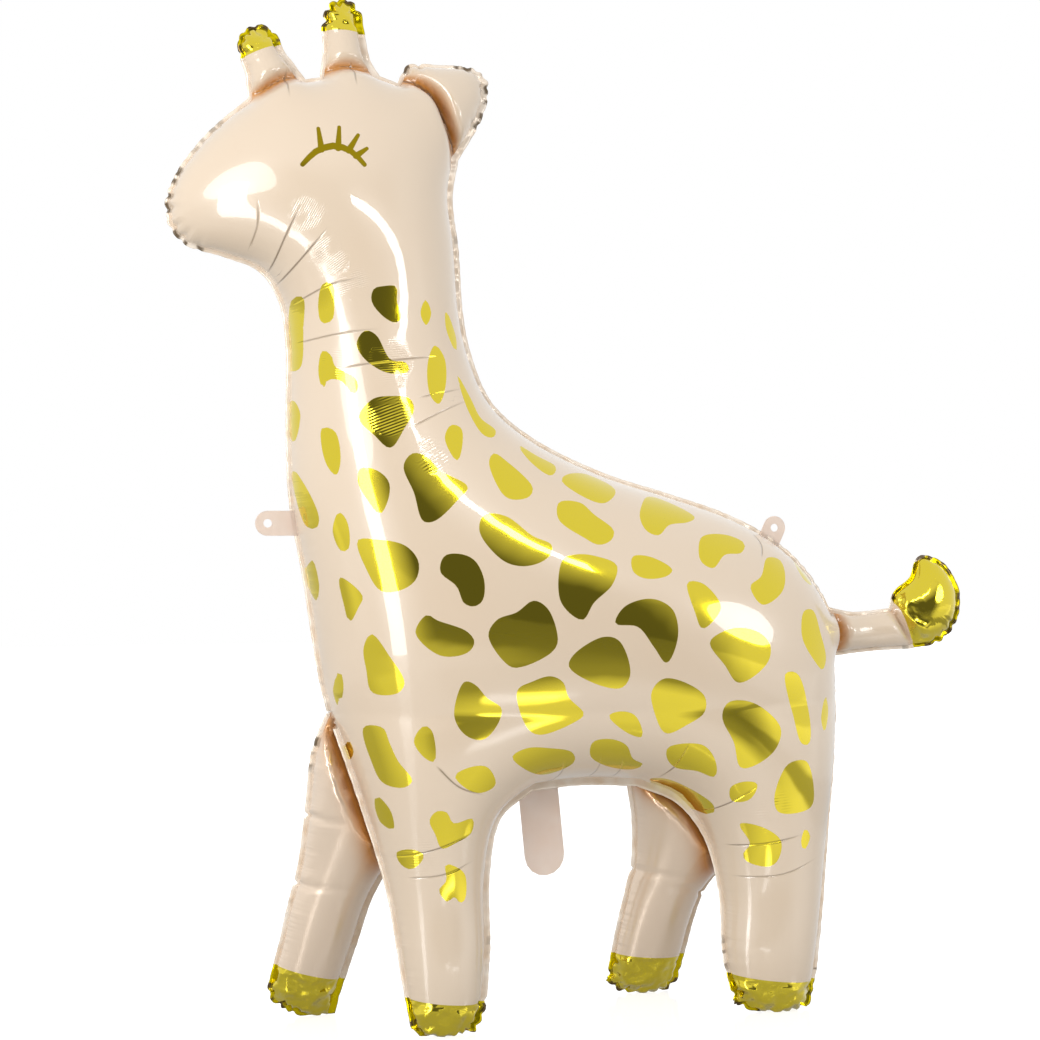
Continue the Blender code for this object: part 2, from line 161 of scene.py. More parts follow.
# %% Smooth curves
def smooth_stretch(knots, step, closed=False):
    """Points along a smooth curve through the knots, about one step apart, without the last one."""
    knots = np.array(knots, float)
    if len(knots) == 2:
        dense = np.linspace(knots[0], knots[1], 60)
    else:
        if closed:
            ends = np.vstack([knots[-1:], knots, knots[:2]])
        else:
            ends = np.vstack([2 * knots[0] - knots[1], knots, 2 * knots[-1] - knots[-2]])
        gaps = np.sqrt(np.linalg.norm(np.diff(ends, axis=0), axis=1))
        times = np.concatenate([[0.0], np.cumsum(gaps)])
        pieces = []
        for i in range(1, len(ends) - 2):
            t0, t1, t2, t3 = times[i - 1:i + 3]
            p0, p1, p2, p3 = ends[i - 1:i + 3]
            t = np.linspace(t1, t2, 40, endpoint=False)[:, None]
            a1 = (t1 - t) / (t1 - t0) * p0 + (t - t0) / (t1 - t0) * p1
            a2 = (t2 - t) / (t2 - t1) * p1 + (t - t1) / (t2 - t1) * p2
            a3 = (t3 - t) / (t3 - t2) * p2 + (t - t2) / (t3 - t2) * p3
            b1 = (t2 - t) / (t2 - t0) * a1 + (t - t0) / (t2 - t0) * a2
            b2 = (t3 - t) / (t3 - t1) * a2 + (t - t1) / (t3 - t1) * a3
            pieces.append((t2 - t) / (t2 - t1) * b1 + (t - t1) / (t2 - t1) * b2)
        dense = np.vstack(pieces + [ends[-2:-1]])
    run = np.concatenate([[0.0], np.cumsum(np.linalg.norm(np.diff(dense, axis=0), axis=1))])
    count = max(2, int(round(run[-1] / step)))
    places = np.linspace(0.0, run[-1], count, endpoint=False)
    return np.stack([np.interp(places, run, dense[:, k]) for k in range(2)], axis=1)


def outline_of(stretches, step):
    """A run of stretches in metres, with the feet pressed up by the floor."""
    line = np.vstack([smooth_stretch(np.array(knots) * MM, step) for knots in stretches])
    line[:, 1] -= SOLE_PRESS * np.clip(1 - line[:, 1] / SOLE_REACH, 0, None)
    return line


middle = outline_of(UPPER_EDGE, 0.01 * SCALE)
middle = (middle[:, 0].min() + middle[:, 0].max()) / 2
print("middle of the balloon, behind the nose: %.4f m" % middle)

# %% [markdown]
# ## Rings
#
# A run of stretches that closes on itself is a ring. It can be drawn again a set distance further in, which
# gives the weld line and the extra rows beside it.

# %% Rings
def near_points(points, others):
    """Distance from each point to the nearest of the others, and which one that is."""
    tree = KDTree(len(others))
    for k, (x, z) in enumerate(others):
        tree.insert((x, 0, z), k)
    tree.balance()
    found = [tree.find((x, 0, z)) for x, z in points]
    return np.array([f[2] for f in found]), np.array([f[1] for f in found])


def inward(ring):
    """Unit direction into a closed ring at each of its points."""
    along = np.roll(ring, -1, axis=0) - np.roll(ring, 1, axis=0)
    along /= np.linalg.norm(along, axis=1)[:, None]
    area = np.sum(ring[:, 0] * np.roll(ring[:, 1], -1) - np.roll(ring[:, 0], -1) * ring[:, 1])
    return np.stack([-along[:, 1], along[:, 0]], axis=1) * np.sign(area)


def inset_ring(ring, reach, fine):
    """The ring drawn again further in, without the loops that an offset makes in tight corners."""
    moved = ring + inward(ring) * np.reshape(reach, (-1, 1))
    gap, _ = near_points(moved, fine)
    return moved[gap > 0.985 * reach]


def inside_ring(points, ring):
    """Which points lie inside a closed ring."""
    inside = np.zeros(len(points), bool)
    for start, end in zip(ring, np.roll(ring, -1, axis=0)):
        rise = end[1] - start[1]
        if rise == 0:
            continue
        crosses = (start[1] > points[:, 1]) != (end[1] > points[:, 1])
        reach = start[0] + (points[:, 1] - start[1]) * (end[0] - start[0]) / rise
        inside ^= crosses & (points[:, 0] < reach)
    return inside


# %% [markdown]
# ## Nets
#
# The foil is a net of even triangles. A remesher would give them too, but wouldn't keep the rows beside the
# weld, where blown foil turns fast. Delaunay triangles between chosen points keep them.

# %% Fill a ring with a net
def fill_ring(ring, fine, rows, step):
    """A net of even triangles inside a ring, with extra rows of points close to its edge."""
    loops = [ring]
    for row in rows:
        loops.append(inset_ring(ring, row, fine))
    low, high = ring.min(axis=0), ring.max(axis=0)
    heights = np.arange(low[1], high[1], step * np.sqrt(3) / 2)
    columns = np.arange(low[0], high[0], step)
    lattice = np.array([(x + step / 2 * (k % 2), z) for k, z in enumerate(heights) for x in columns])
    lattice = lattice[inside_ring(lattice, ring)]
    gap, _ = near_points(lattice, fine)
    lattice = lattice[gap > rows[-1] + 0.5 * step]
    points = np.vstack(loops + [lattice])
    edges, start = [], len(ring)
    for loop in loops[1:]:
        hops = np.linalg.norm(np.roll(loop, -1, axis=0) - loop, axis=1)
        edges += [(start + k, start + (k + 1) % len(loop)) for k in range(len(loop)) if hops[k] < 2 * step]
        start += len(loop)
    filled = delaunay_2d_cdt([Vector(p) for p in points], edges, [list(range(len(ring)))], 1, 1e-7)
    net = np.array([tuple(p) for p in filled[0]])
    return net, np.array([tuple(f) for f in filled[2]])


# %% [markdown]
# ## Air
#
# Pressure is worked out as a soap film would carry it: the film's rise solves one linear system over the
# net, with the edge held down. The square root of twice the rise is a true circle across a long tube and a
# flattened ball over a disc, which is how foil balloons blow up. A cloth simulation would give the same form
# more slowly and less evenly.

# %% Lift of a flat net
SOLVER_ROUNDS = 1500     # at most
SOLVER_END = 1e-12       # share of the first error at which it is good enough


def air_height(net, triangles, held):
    """How far pressure lifts each point of a flat net, where the held points stay down."""
    corners = net[triangles]
    sides = corners[:, [2, 0, 1]] - corners[:, [1, 2, 0]]
    double_area = np.abs(sides[:, 0, 0] * sides[:, 1, 1] - sides[:, 0, 1] * sides[:, 1, 0])
    pull = np.zeros(len(net))
    for k in range(3):
        np.add.at(pull, triangles[:, k], double_area / 6)
    first, second, weight = [], [], []
    for k in range(3):
        a, b = sides[:, (k + 1) % 3], sides[:, (k + 2) % 3]
        first.append(triangles[:, (k + 1) % 3])
        second.append(triangles[:, (k + 2) % 3])
        weight.append(-np.sum(a * b, axis=1) / double_area / 2)
    first, second, weight = (np.concatenate(part) for part in (first, second, weight))
    total = np.bincount(first, weight, len(net)) + np.bincount(second, weight, len(net))
    free = ~held
    rise = np.zeros(len(net))
    left = pull * free
    direction = left / total
    size = left @ direction
    start = size
    for _ in range(SOLVER_ROUNDS):
        spread = np.bincount(first, weight * direction[second], len(net))
        spread += np.bincount(second, weight * direction[first], len(net))
        moved = (total * direction - spread) * free
        share = size / (direction @ moved)
        rise += share * direction
        left = left - share * moved
        scaled = left / total * free
        new_size = left @ scaled
        if new_size < SOLVER_END * start:
            break
        direction = scaled + new_size / size * direction
        size = new_size
    return np.sqrt(2 * np.maximum(rise, 0))


# %% [markdown]
# ## The two flanks
#
# One weld runs round head, body and tail. Below the belly it divides into a left and a right leg weld, which
# spread towards the feet. The folds at the horns, ear and tail take lift away along a narrow line.

# %% Leg planes, folds and border width
FOLD_DEPTH = 0.80        # share of the lift that is gone in the middle of a fold
FOLD_WIDTH = 0.0062
BELLY_SPAN = (0.14, 0.20, 0.26, 0.32)     # heights between which an edge counts as under the belly
split = SPLIT_HEIGHT * SCALE


def blend(low, high, value):
    """Smooth change from 0 below low to 1 above high."""
    share = np.clip((value - low) / (high - low), 0, 1)
    return share * share * (3 - 2 * share)


def weld_plane(z, side):
    """How far to one side the weld of a leg lies at a height."""
    return side * LEG_SPREAD * SCALE / 2 * np.clip((split - z) / split, 0, None)


def fold_share(net):
    """How much of its lift each point keeps beside the folds."""
    keep = np.ones(len(net))
    for fold in FOLDS:
        route = smooth_stretch(np.array(fold) * MM, 0.001)
        gap, _ = near_points(net, route)
        keep *= 1 - FOLD_DEPTH * np.exp(-(gap / FOLD_WIDTH) ** 2)
    return keep


def border_width(ring):
    """Width of the welded strip at each point of an outline."""
    into = inward(ring)
    low, high = BELLY_SPAN[:2], BELLY_SPAN[2:]
    under_belly = blend(*low, ring[:, 1]) * (1 - blend(*high, ring[:, 1]))
    return BORDER_WIDTH + REAR_EXTRA * np.clip(-into[:, 0], 0, 1) \
        + BELLY_EXTRA * np.clip(into[:, 1], 0, 1) ** 2 * under_belly


print("each foot is %.3f m from the middle" % abs(weld_plane(0.0, 1)))

# %% [markdown]
# The far legs' inner sheet meets the near flank in the middle of the balloon. Real foil gives way there: the
# sheet lies behind the near flank's border and swings free further in.

# %% Seat of the far legs
SEAT_GAP = 0.004         # how far behind the near flank's border the sheet stays
SEAT_REACH = (0.004, 0.048)
SEAT_DROP = 0.05         # how far the limit has moved away at the end of that reach
SEAT_START = 0.92        # share of the split height at which the seat begins to fade


def seated(net, inner_y, z):
    """The far legs' inner sheet, pressed back where the near flank's border lies against it."""
    gap, _ = near_points(net, flanks[0].fine_weld)
    limit = weld_plane(z, -1) + SEAT_GAP - SEAT_DROP * blend(*SEAT_REACH, gap)
    legs = 1 - blend(SEAT_START * split, split, z)
    return inner_y + legs * (np.maximum(inner_y, limit) - inner_y)


# %% [markdown]
# Each flank gets its outline, the weld line one border width further in, and its net. Its outer sheet rises
# to the full lift. Above the split the inner sheet lies inside the body and rises half as far.

# %% A flank
class Flank:
    """One flank: its weld line and net, and how far air lifts the net."""

    def __init__(self, stretches, side):
        self.side = side
        edge = outline_of(stretches, NET_STEP * 0.8)
        fine = outline_of(stretches, 0.0005)
        weld = inset_ring(edge, border_width(edge), fine)
        hop = np.linalg.norm(np.roll(weld, -1, axis=0) - weld, axis=1)
        self.weld = weld[hop > 0.25 * NET_STEP]
        self.fine_weld = inset_ring(fine, border_width(fine), fine)
        self.net, self.triangles = fill_ring(self.weld, self.fine_weld, EDGE_ROWS, NET_STEP)
        self.held = np.arange(len(self.net)) < len(self.weld)
        self.height = air_height(self.net, self.triangles, self.held)
        self.height *= FULLNESS * fold_share(self.net)

    def sheets(self):
        """Points of the outer and the inner sheet, standing up."""
        x, z = self.net[:, 0] - middle, self.net[:, 1]
        plane = weld_plane(z, self.side)
        inner_share = 1 - 0.5 * blend(0.8 * split, 1.05 * split, z)
        outer = np.stack([x, plane + self.side * self.height, z], axis=1)
        inner_y = plane - self.side * self.height * inner_share
        if self.side > 0:
            inner_y = seated(self.net, inner_y, z)
        return outer, np.stack([x, inner_y, z], axis=1)


# %% Blow up both flanks
flanks = [Flank(UPPER_EDGE + NEAR_LEGS, -1), Flank(UPPER_EDGE + FAR_LEGS, 1)]
for flank in flanks:
    print("net points", len(flank.net), "triangles", len(flank.triangles), "weld points", len(flank.weld),
          "half thickness %.4f m" % flank.height.max())

# %% [markdown]
# ## One sealed skin
#
# Each flank is closed with an inner sheet, which shows only between the legs. A Boolean union welds the two
# closed flanks into one skin. The flanks could also be joined point by point, but the union finds by itself
# where the body ends and the legs part. Four marker materials remember which sheet a face comes from.

# %% A flank as a closed shell
SHEETS = [(-1, False), (-1, True), (1, False), (1, True)]     # side, and whether it is an inner sheet
sheet_marks = [bpy.data.materials.new(f"sheet_{k}") for k in range(len(SHEETS))]


def flank_mesh(flank, name):
    """One flank as a closed shell that faces outward."""
    outer, inner = flank.sheets()
    count = len(outer)
    remap = np.where(flank.held, np.arange(count), np.arange(count) + count)
    points = np.vstack([outer, inner])
    faces = np.vstack([flank.triangles, remap[flank.triangles][:, ::-1]])
    shell = bmesh.new()
    verts = [shell.verts.new(p) for p in points]
    for k, (a, b, c) in enumerate(faces):
        face = shell.faces.new((verts[a], verts[b], verts[c]))
        face.material_index = SHEETS.index((flank.side, k >= len(flank.triangles)))
    bmesh.ops.delete(shell, geom=[v for v in shell.verts if not v.link_faces], context="VERTS")
    bmesh.ops.recalc_face_normals(shell, faces=shell.faces)
    mesh = bpy.data.meshes.new(name)
    shell.to_mesh(mesh)
    shell.free()
    for sheet in sheet_marks:
        mesh.materials.append(sheet)
    return mesh


# %% Objects, evaluated meshes and stored values
def add_object(name, mesh, material=None):
    """A mesh as an object of the scene."""
    piece = bpy.data.objects.new(name, mesh)
    bpy.context.scene.collection.objects.link(piece)
    if material:
        mesh.materials.append(material)
    return piece


def evaluated_mesh(piece):
    """The mesh of an object with its modifiers applied."""
    bpy.context.view_layer.update()
    return bpy.data.meshes.new_from_object(piece.evaluated_get(bpy.context.evaluated_depsgraph_get()))


def read_rows(items, name="co"):
    """Three numbers of each point or normal of a mesh, as rows."""
    rows = np.empty(len(items) * 3)
    items.foreach_get(name, rows)
    return rows.reshape(-1, 3)


def store(mesh, name, values):
    """Keep one number at each point of a mesh, for its material to read."""
    layer = mesh.attributes.new(name, "FLOAT", "POINT")
    layer.data.foreach_set("value", values.astype(np.float32))


# %% Weld the flanks
near_shell = add_object("near_shell", flank_mesh(flanks[0], "near_shell"))
far_shell = add_object("far_shell", flank_mesh(flanks[1], "far_shell"))
weld = near_shell.modifiers.new("weld_flanks", "BOOLEAN")
weld.operation = "UNION"
weld.solver = "MANIFOLD"
weld.object = far_shell
skin_mesh = evaluated_mesh(near_shell)
for tool in (near_shell, far_shell):
    bpy.data.objects.remove(tool, do_unlink=True)
skin_mesh.name = "foil_skin"
sheet_of_face = np.empty(len(skin_mesh.polygons), int)
skin_mesh.polygons.foreach_get("material_index", sheet_of_face)
skin_mesh.materials.clear()
skin_mesh.polygons.foreach_set("material_index", np.zeros(len(sheet_of_face), int))
for sheet in sheet_marks:
    bpy.data.materials.remove(sheet)
print("faces per sheet", np.bincount(sheet_of_face))
shell = bmesh.new()
shell.from_mesh(skin_mesh)
print("open or odd edges:", sum(len(e.link_faces) != 2 for e in shell.edges), "faces", len(shell.faces))
shell.free()

# %% [markdown]
# ## Print
#
# Both flanks carry the same print. The spots are read off the photograph one corner at a time and drawn as
# small closed curves, in the same millimetres as the outlines. An image would be quicker, but its edges would
# blur close up. A spot that is a curve stays sharp at any distance.

# %% Spots of the neck
NECK_SPOTS = [
    [(122, 720), (129, 720), (131, 690), (129, 652), (124, 650), (122, 690)],
    [(146, 732), (154, 730), (156, 712), (154, 696), (146, 694), (142, 712)],
    [(192, 726), (202, 729), (214, 729), (215, 714), (219, 699), (213, 694), (202, 699), (190, 714)],
    [(245, 718), (251, 706), (245, 693), (239, 704)],
    [(269, 710), (281, 684), (279, 670), (268, 692)],
    [(184, 686), (194, 682), (208, 658), (222, 656), (226, 649), (221, 645), (202, 646), (182, 660),
     (176, 674)],
    [(147, 668), (154, 662), (157, 652), (174, 641), (177, 632), (173, 624), (162, 638), (151, 639),
     (147, 630),
     (143, 648)],
    [(254, 674), (264, 662), (263, 634), (254, 616), (246, 624), (245, 656)],
    [(278, 646), (291, 624), (300, 604), (316, 592), (311, 585), (300, 587), (286, 611)],
    [(190, 620), (207, 623), (225, 621), (229, 611), (219, 592), (205, 573), (191, 585), (177, 602)],
    [(124, 622), (129, 608), (125, 580), (122, 600)],
    [(146, 593), (156, 590), (161, 560), (157, 547), (150, 556), (145, 578)],
    [(266, 596), (276, 593), (276, 578), (269, 561), (258, 583)],
    [(309, 569), (321, 562), (346, 536), (341, 527), (322, 524), (313, 529), (302, 560)],
    [(340, 578), (360, 568), (380, 557), (370, 548), (350, 561)],
    [(389, 549), (419, 550), (445, 535), (425, 521), (404, 526), (381, 543)],
    [(226, 568), (239, 565), (251, 552), (278, 536), (268, 524), (244, 503), (234, 503), (226, 530),
     (217, 556)],
    [(178, 554), (192, 552), (203, 541), (203, 526), (195, 510), (184, 523), (176, 540)],
    [(125, 553), (130, 544), (144, 506), (142, 496), (136, 497), (128, 522)],
    [(160, 512), (167, 502), (168, 476), (163, 474), (155, 494)]]
print("neck spots:", len(NECK_SPOTS))

# %% Spots of the shoulder and the front leg
SHOULDER_SPOTS = [
    [(176, 485), (190, 486), (217, 480), (229, 465), (227, 448), (215, 438), (197, 436), (184, 456)],
    [(253, 470), (267, 472), (281, 466), (290, 447), (288, 427), (280, 422), (271, 425), (264, 441),
     (249, 455)],
    [(292, 509), (314, 508), (340, 489), (359, 480), (357, 471), (345, 463), (326, 460), (308, 466),
     (287, 493)],
    [(372, 521), (397, 521), (409, 510), (428, 494), (424, 485), (409, 480), (394, 487), (369, 505)],
    [(141, 465), (147, 440), (146, 425), (142, 436), (138, 454)],
    [(162, 449), (181, 431), (178, 421), (171, 406), (166, 422)],
    [(189, 395), (205, 374), (219, 348), (213, 338), (192, 338), (186, 360), (183, 382)],
    [(165, 359), (169, 342), (167, 322), (162, 338)],
    [(237, 414), (246, 409), (274, 398), (281, 388), (275, 378), (250, 375), (227, 397)],
    [(338, 427), (352, 419), (362, 388), (357, 378), (329, 364), (316, 364), (294, 394), (302, 409),
     (321, 416)],
    [(273, 350), (283, 347), (295, 334), (310, 323), (306, 306), (293, 293), (276, 298), (265, 317)],
    [(324, 341), (338, 349), (356, 354), (369, 348), (376, 333), (394, 315), (384, 307), (350, 296),
     (337, 303)],
    [(187, 304), (202, 304), (208, 290), (216, 272), (229, 253), (222, 246), (205, 249), (195, 268)],
    [(238, 307), (245, 302), (248, 272), (240, 275), (229, 292)],
    [(177, 288), (181, 278), (180, 267), (176, 278)]]
print("shoulder spots:", len(SHOULDER_SPOTS))

# %% Spots of the flank and the rear leg
FLANK_SPOTS = [
    [(480, 527), (498, 526), (531, 507), (519, 502), (494, 499), (478, 489), (465, 494), (462, 508)],
    [(528, 486), (562, 489), (582, 480), (574, 471), (552, 469), (534, 456), (521, 464)],
    [(606, 465), (626, 462), (625, 445), (615, 430), (587, 419), (576, 437), (592, 447)],
    [(651, 463), (669, 446), (668, 436), (653, 444)],
    [(444, 468), (464, 468), (487, 455), (480, 449), (455, 447), (443, 454)],
    [(502, 442), (520, 441), (538, 419), (532, 408), (515, 397), (508, 412)],
    [(453, 427), (470, 425), (484, 415), (488, 390), (476, 364), (462, 380), (445, 400), (421, 404),
     (430, 419)],
    [(369, 466), (384, 471), (405, 469), (426, 460), (420, 442), (399, 424), (387, 408), (365, 426)],
    [(523, 383), (537, 393), (558, 397), (582, 391), (594, 378), (590, 361), (556, 342), (540, 360)],
    [(642, 410), (657, 411), (664, 388), (671, 360), (665, 350), (652, 360), (636, 385)],
    [(408, 391), (425, 387), (438, 354), (431, 341), (409, 343), (374, 363), (378, 374)],
    [(472, 348), (489, 347), (519, 330), (521, 314), (503, 301), (482, 293), (466, 318), (462, 336)],
    [(545, 322), (563, 324), (586, 315), (607, 293), (599, 271), (565, 255), (554, 282), (540, 308)],
    [(612, 349), (628, 348), (645, 300), (643, 276), (633, 277), (622, 307)],
    [(420, 313), (432, 317), (448, 312), (458, 290), (441, 295)],
    [(407, 286), (424, 289), (443, 282), (454, 267), (468, 259), (460, 254), (430, 259), (408, 272)],
    [(487, 278), (522, 280), (538, 262), (540, 246), (522, 252), (500, 256), (488, 268)],
    [(485, 242), (502, 241), (547, 214), (548, 203), (526, 213), (498, 231)],
    [(557, 235), (570, 241), (583, 238), (577, 222), (561, 220)],
    [(618, 258), (640, 258), (651, 219), (646, 210), (608, 208), (602, 222), (609, 248)],
    [(571, 196), (592, 193), (612, 178), (609, 158), (600, 152), (580, 157), (577, 165), (582, 175)],
    [(640, 189), (647, 180), (639, 167), (635, 176)],
    [(671, 322), (675, 306), (667, 286), (662, 300)],
    [(268, 258), (281, 266), (299, 266), (310, 247), (297, 240), (283, 243)],
    [(324, 275), (338, 283), (362, 282), (388, 276), (393, 265), (370, 253), (348, 257)],
    [(200, 236), (212, 222), (215, 203), (206, 208), (200, 225)],
    [(252, 223), (262, 222), (269, 211), (289, 214), (289, 200), (273, 191), (259, 186), (252, 200),
     (246, 214)],
    [(219, 181), (231, 185), (242, 180), (238, 170), (230, 165), (222, 170)],
    [(263, 170), (274, 167), (284, 158), (284, 134), (279, 131), (272, 138), (266, 133), (257, 145),
     (264, 154)]]
SPOTS = NECK_SPOTS + SHOULDER_SPOTS + FLANK_SPOTS
print("spots in all:", len(SPOTS))

# %% [markdown]
# Hooves, horn tips and the tail tuft are gold beyond a straight line. The sleeping eye is an arc with four
# lashes, drawn as brush strokes.

# %% Gold ends and the eye
# A gold end: its flank (0 is both), the straight edge of the print, a place in the gold, and its depth
GOLD_ENDS = [
    (0, (60, 950), (125, 977), (90, 1010), 50),
    (0, (140, 989), (215, 988), (178, 1040), 50),
    (0, (767, 440), (812, 350), (880, 430), 90),
    (-1, (215, 39), (335, 26), (270, -10), 75),
    (1, (85, 65), (200, 33), (140, -10), 75),
    (-1, (545, 43), (690, 25), (615, -10), 75),
    (1, (450, 48), (580, 38), (515, -10), 75)]

# The eye: the arc through three places, and each lash from its root to its tip
EYE_ARC = [(124, 843), (137, 856), (154, 862), (171, 857), (183, 845)]
EYE_LASHES = [[(142, 858), (140, 879)], [(158, 860), (160, 881)], [(168, 858), (178, 874)],
              [(175, 853), (186, 861)]]
EYE_STROKE = 5.6         # mm at the middle of the arc
LASH_STROKE = 6.4        # mm at the root of a lash
print("gold ends:", len(GOLD_ENDS), "lashes:", len(EYE_LASHES))

# %% [markdown]
# The material needs to know how far inside the gold each point of the foil lies. The distance is worked out
# here once and stored on the mesh, so that the shader only has to compare it with zero.

# %% Distance into the print
OUTSIDE = -20.0          # mm, for places that are far from any gold
SPOT_ROOM = 12           # mm round a spot in which its distance is worked out


def ring_gap(points, ring):
    """Signed distance from points to a closed ring, positive inside."""
    best = np.full(len(points), 1e9)
    for corner, span in zip(ring, np.roll(ring, -1, axis=0) - ring):
        share = np.clip(((points - corner) @ span) / max(span @ span, 1e-12), 0, 1)
        best = np.minimum(best, np.linalg.norm(points - corner - share[:, None] * span, axis=1))
    return np.where(inside_ring(points, ring), best, -best)


def print_gap(flat):
    """Distance into the gold spots in millimetres, for places on the flat pattern in millimetres."""
    gap = np.full(len(flat), OUTSIDE)
    for spot in SPOTS:
        ring = smooth_stretch(spot, 2.0, closed=True)
        low, high = ring.min(axis=0) - SPOT_ROOM, ring.max(axis=0) + SPOT_ROOM
        close = np.all((flat > low) & (flat < high), axis=1)
        if close.any():
            gap[close] = np.maximum(gap[close], ring_gap(flat[close], ring))
    return gap


def end_gap(flat, side):
    """The same for the gold ends, which both sheets carry."""
    gap = np.full(len(flat), OUTSIDE)
    for flank, start, stop, beyond, reach in GOLD_ENDS:
        start, stop, beyond = (np.array(p, float) for p in (start, stop, beyond))
        along = (stop - start) / np.linalg.norm(stop - start)
        out = np.array([-along[1], along[0]])
        out *= np.sign((beyond - start) @ out)
        side_room = np.linalg.norm(stop - start) / 2 - np.abs((flat - (start + stop) / 2) @ along)
        depth = (flat - start) @ out
        here = np.minimum(depth, np.minimum(side_room, reach - depth))
        if flank:
            here = np.where(side == flank, here, OUTSIDE)
        gap = np.maximum(gap, here)
    return gap


# %% [markdown]
# ## Creases
#
# Long thin creases run in from the throat, across the neck and round the tops of the legs. They are thinner
# than the net's triangles, so the skin stores how far each point is from a crease, and the foil's bump cuts
# the crease there.

# %% Long creases
# A crease: its route from the weld inward, in millimetres, and its depth from 0 to 1
CREASES = [
    ([(79, 765), (84, 787), (83, 812)], 0.7),
    ([(100, 745), (110, 776), (124, 808)], 1.0),
    ([(108, 733), (127, 757), (150, 786)], 1.0),
    ([(122, 714), (152, 730), (182, 737)], 0.8),
    ([(125, 676), (165, 684), (200, 688)], 0.7),
    ([(160, 650), (215, 658), (268, 664)], 0.8),
    ([(235, 622), (262, 628), (284, 633)], 0.6),
    ([(228, 594), (262, 611), (290, 622)], 0.6),
    ([(250, 268), (272, 247), (302, 236)], 0.9),
    ([(216, 176), (250, 184), (296, 201)], 0.9),
    ([(228, 156), (262, 160), (296, 172)], 0.6),
    ([(508, 281), (500, 258), (488, 240)], 1.0),
    ([(540, 205), (565, 222), (585, 237)], 0.9),
    ([(562, 172), (598, 176), (640, 184)], 0.9),
    ([(570, 140), (615, 144), (660, 158)], 0.6),
    ([(600, 466), (606, 480), (600, 494)], 0.8),
    ([(380, 238), (384, 256), (380, 270)], 0.6),
    ([(420, 240), (422, 258), (420, 276)], 0.5),
    ([(446, 240), (447, 256), (443, 272)], 0.5),
    ([(118, 945), (116, 928), (116, 912)], 0.8),
    ([(183, 958), (182, 940), (182, 926)], 0.8)]
CREASE_REACH = 6.0       # mm on each side of a crease that its bump fills
print("creases:", len(CREASES))

# %% [markdown]
# Where the neck bends, the foil also buckles into fine parallel wrinkles. They come in patches, and each patch
# has its own direction. The gold ends are crumpled all over, because a small round chamber has foil to spare.

# %% Fine wrinkles and crumples
# A patch: its middle, reach, direction in degrees, spacing and strength, in mm
HATCHES = [
    ((129, 797), 20, 62, 1.9, 1.9), ((150, 758), 22, 38, 1.9, 1.9), ((173, 731), 18, 18, 1.9, 1.6),
    ((159, 655), 20, -8, 2.2, 0.7), ((208, 655), 26, 6, 2.2, 0.8), ((204, 604), 22, 21, 2.8, 1.2),
    ((246, 566), 20, 32, 3.2, 0.8), ((236, 180), 26, 2, 2.6, 0.5), ((600, 210), 26, 4, 3.0, 0.4)]
HATCH_HEIGHT = 0.10      # mm
CRUMPLE_HEIGHT = 11.0    # mm
CRUMPLE_SCALE = 60.0     # crumples in a metre
print("patches of fine wrinkles:", len(HATCHES))

# %% [markdown]
# ## Puckers
#
# Air gathers the foil into puckers along the weld, most where the outline curves outward. They show against
# the light, so they move the skin itself. Their spacing is uneven and comes from a fixed seed. They are deeper
# at the hooves and horn tips, and nearly gone round the top of the tuft.

# %% Where the weld gathers
END_HEIGHT, HORN_TIPS, END_GATHER = 45, 985, 1.5       # mm, mm and a factor
TUFT_START, TUFT_CALM, TUFT_GATHER = 765, 395, 0.25    # the same for the tuft
BEND_POINTS = 20         # points of the weld on each side over which its bend is measured
PUCKER_HALF = 0.0030     # half width of one pucker


class Weld:
    """The weld round one flank, with the places where puckers gather it."""

    def __init__(self, flank):
        self.side = flank.side
        self.ring = flank.fine_weld
        self.into = inward(self.ring)
        self.run = np.concatenate([[0.0], np.cumsum(np.linalg.norm(np.diff(self.ring, axis=0), axis=1))])
        nearby, along = (np.roll(rows, -BEND_POINTS, axis=0) - np.roll(rows, BEND_POINTS, axis=0)
                         for rows in (self.into, self.ring))
        span = np.maximum(np.sum(along ** 2, axis=1), 1e-9)
        self.bend = -np.sum(nearby * along, axis=1) / span      # in 1/m, positive where it curves outward
        rng = np.random.default_rng(7)
        places, depths, at = [], [], 0.0
        while at < self.run[-1]:
            at += PUCKER_LENGTH * rng.uniform(0.6, 1.4)
            places.append(at)
            bend = np.interp(at, self.run, self.bend)
            depths.append(rng.uniform(0.45, 1.0) * (0.08 + 0.92 * blend(-2.0, 24.0, bend)))
            x, z = (np.interp(at, self.run, self.ring[:, k]) / MM for k in (0, 1))
            if z < END_HEIGHT or z > HORN_TIPS:
                depths[-1] *= END_GATHER
            if x > TUFT_START and z > TUFT_CALM:
                depths[-1] *= TUFT_GATHER
        self.places, self.depths = np.array(places), np.array(depths)
        print("puckers", len(places), "deep ones", int(np.sum(self.depths > 0.5)))

    def feel(self, flat):
        """For places on the pattern: nearest weld point, distance to it, and how strongly it is gathered."""
        gap, which = near_points(flat, self.ring)
        at = self.run[which]
        right = np.clip(np.searchsorted(self.places, at), 1, len(self.places) - 1)
        gather = np.zeros(len(flat))
        for k in (right - 1, right):
            gather += self.depths[k] * np.exp(-((at - self.places[k]) / PUCKER_HALF) ** 2)
        return which, gap, gather


welds = {flank.side: Weld(flank) for flank in flanks}

# %% [markdown]
# The far legs are nipped in by short folds that start at a notch in their outline.

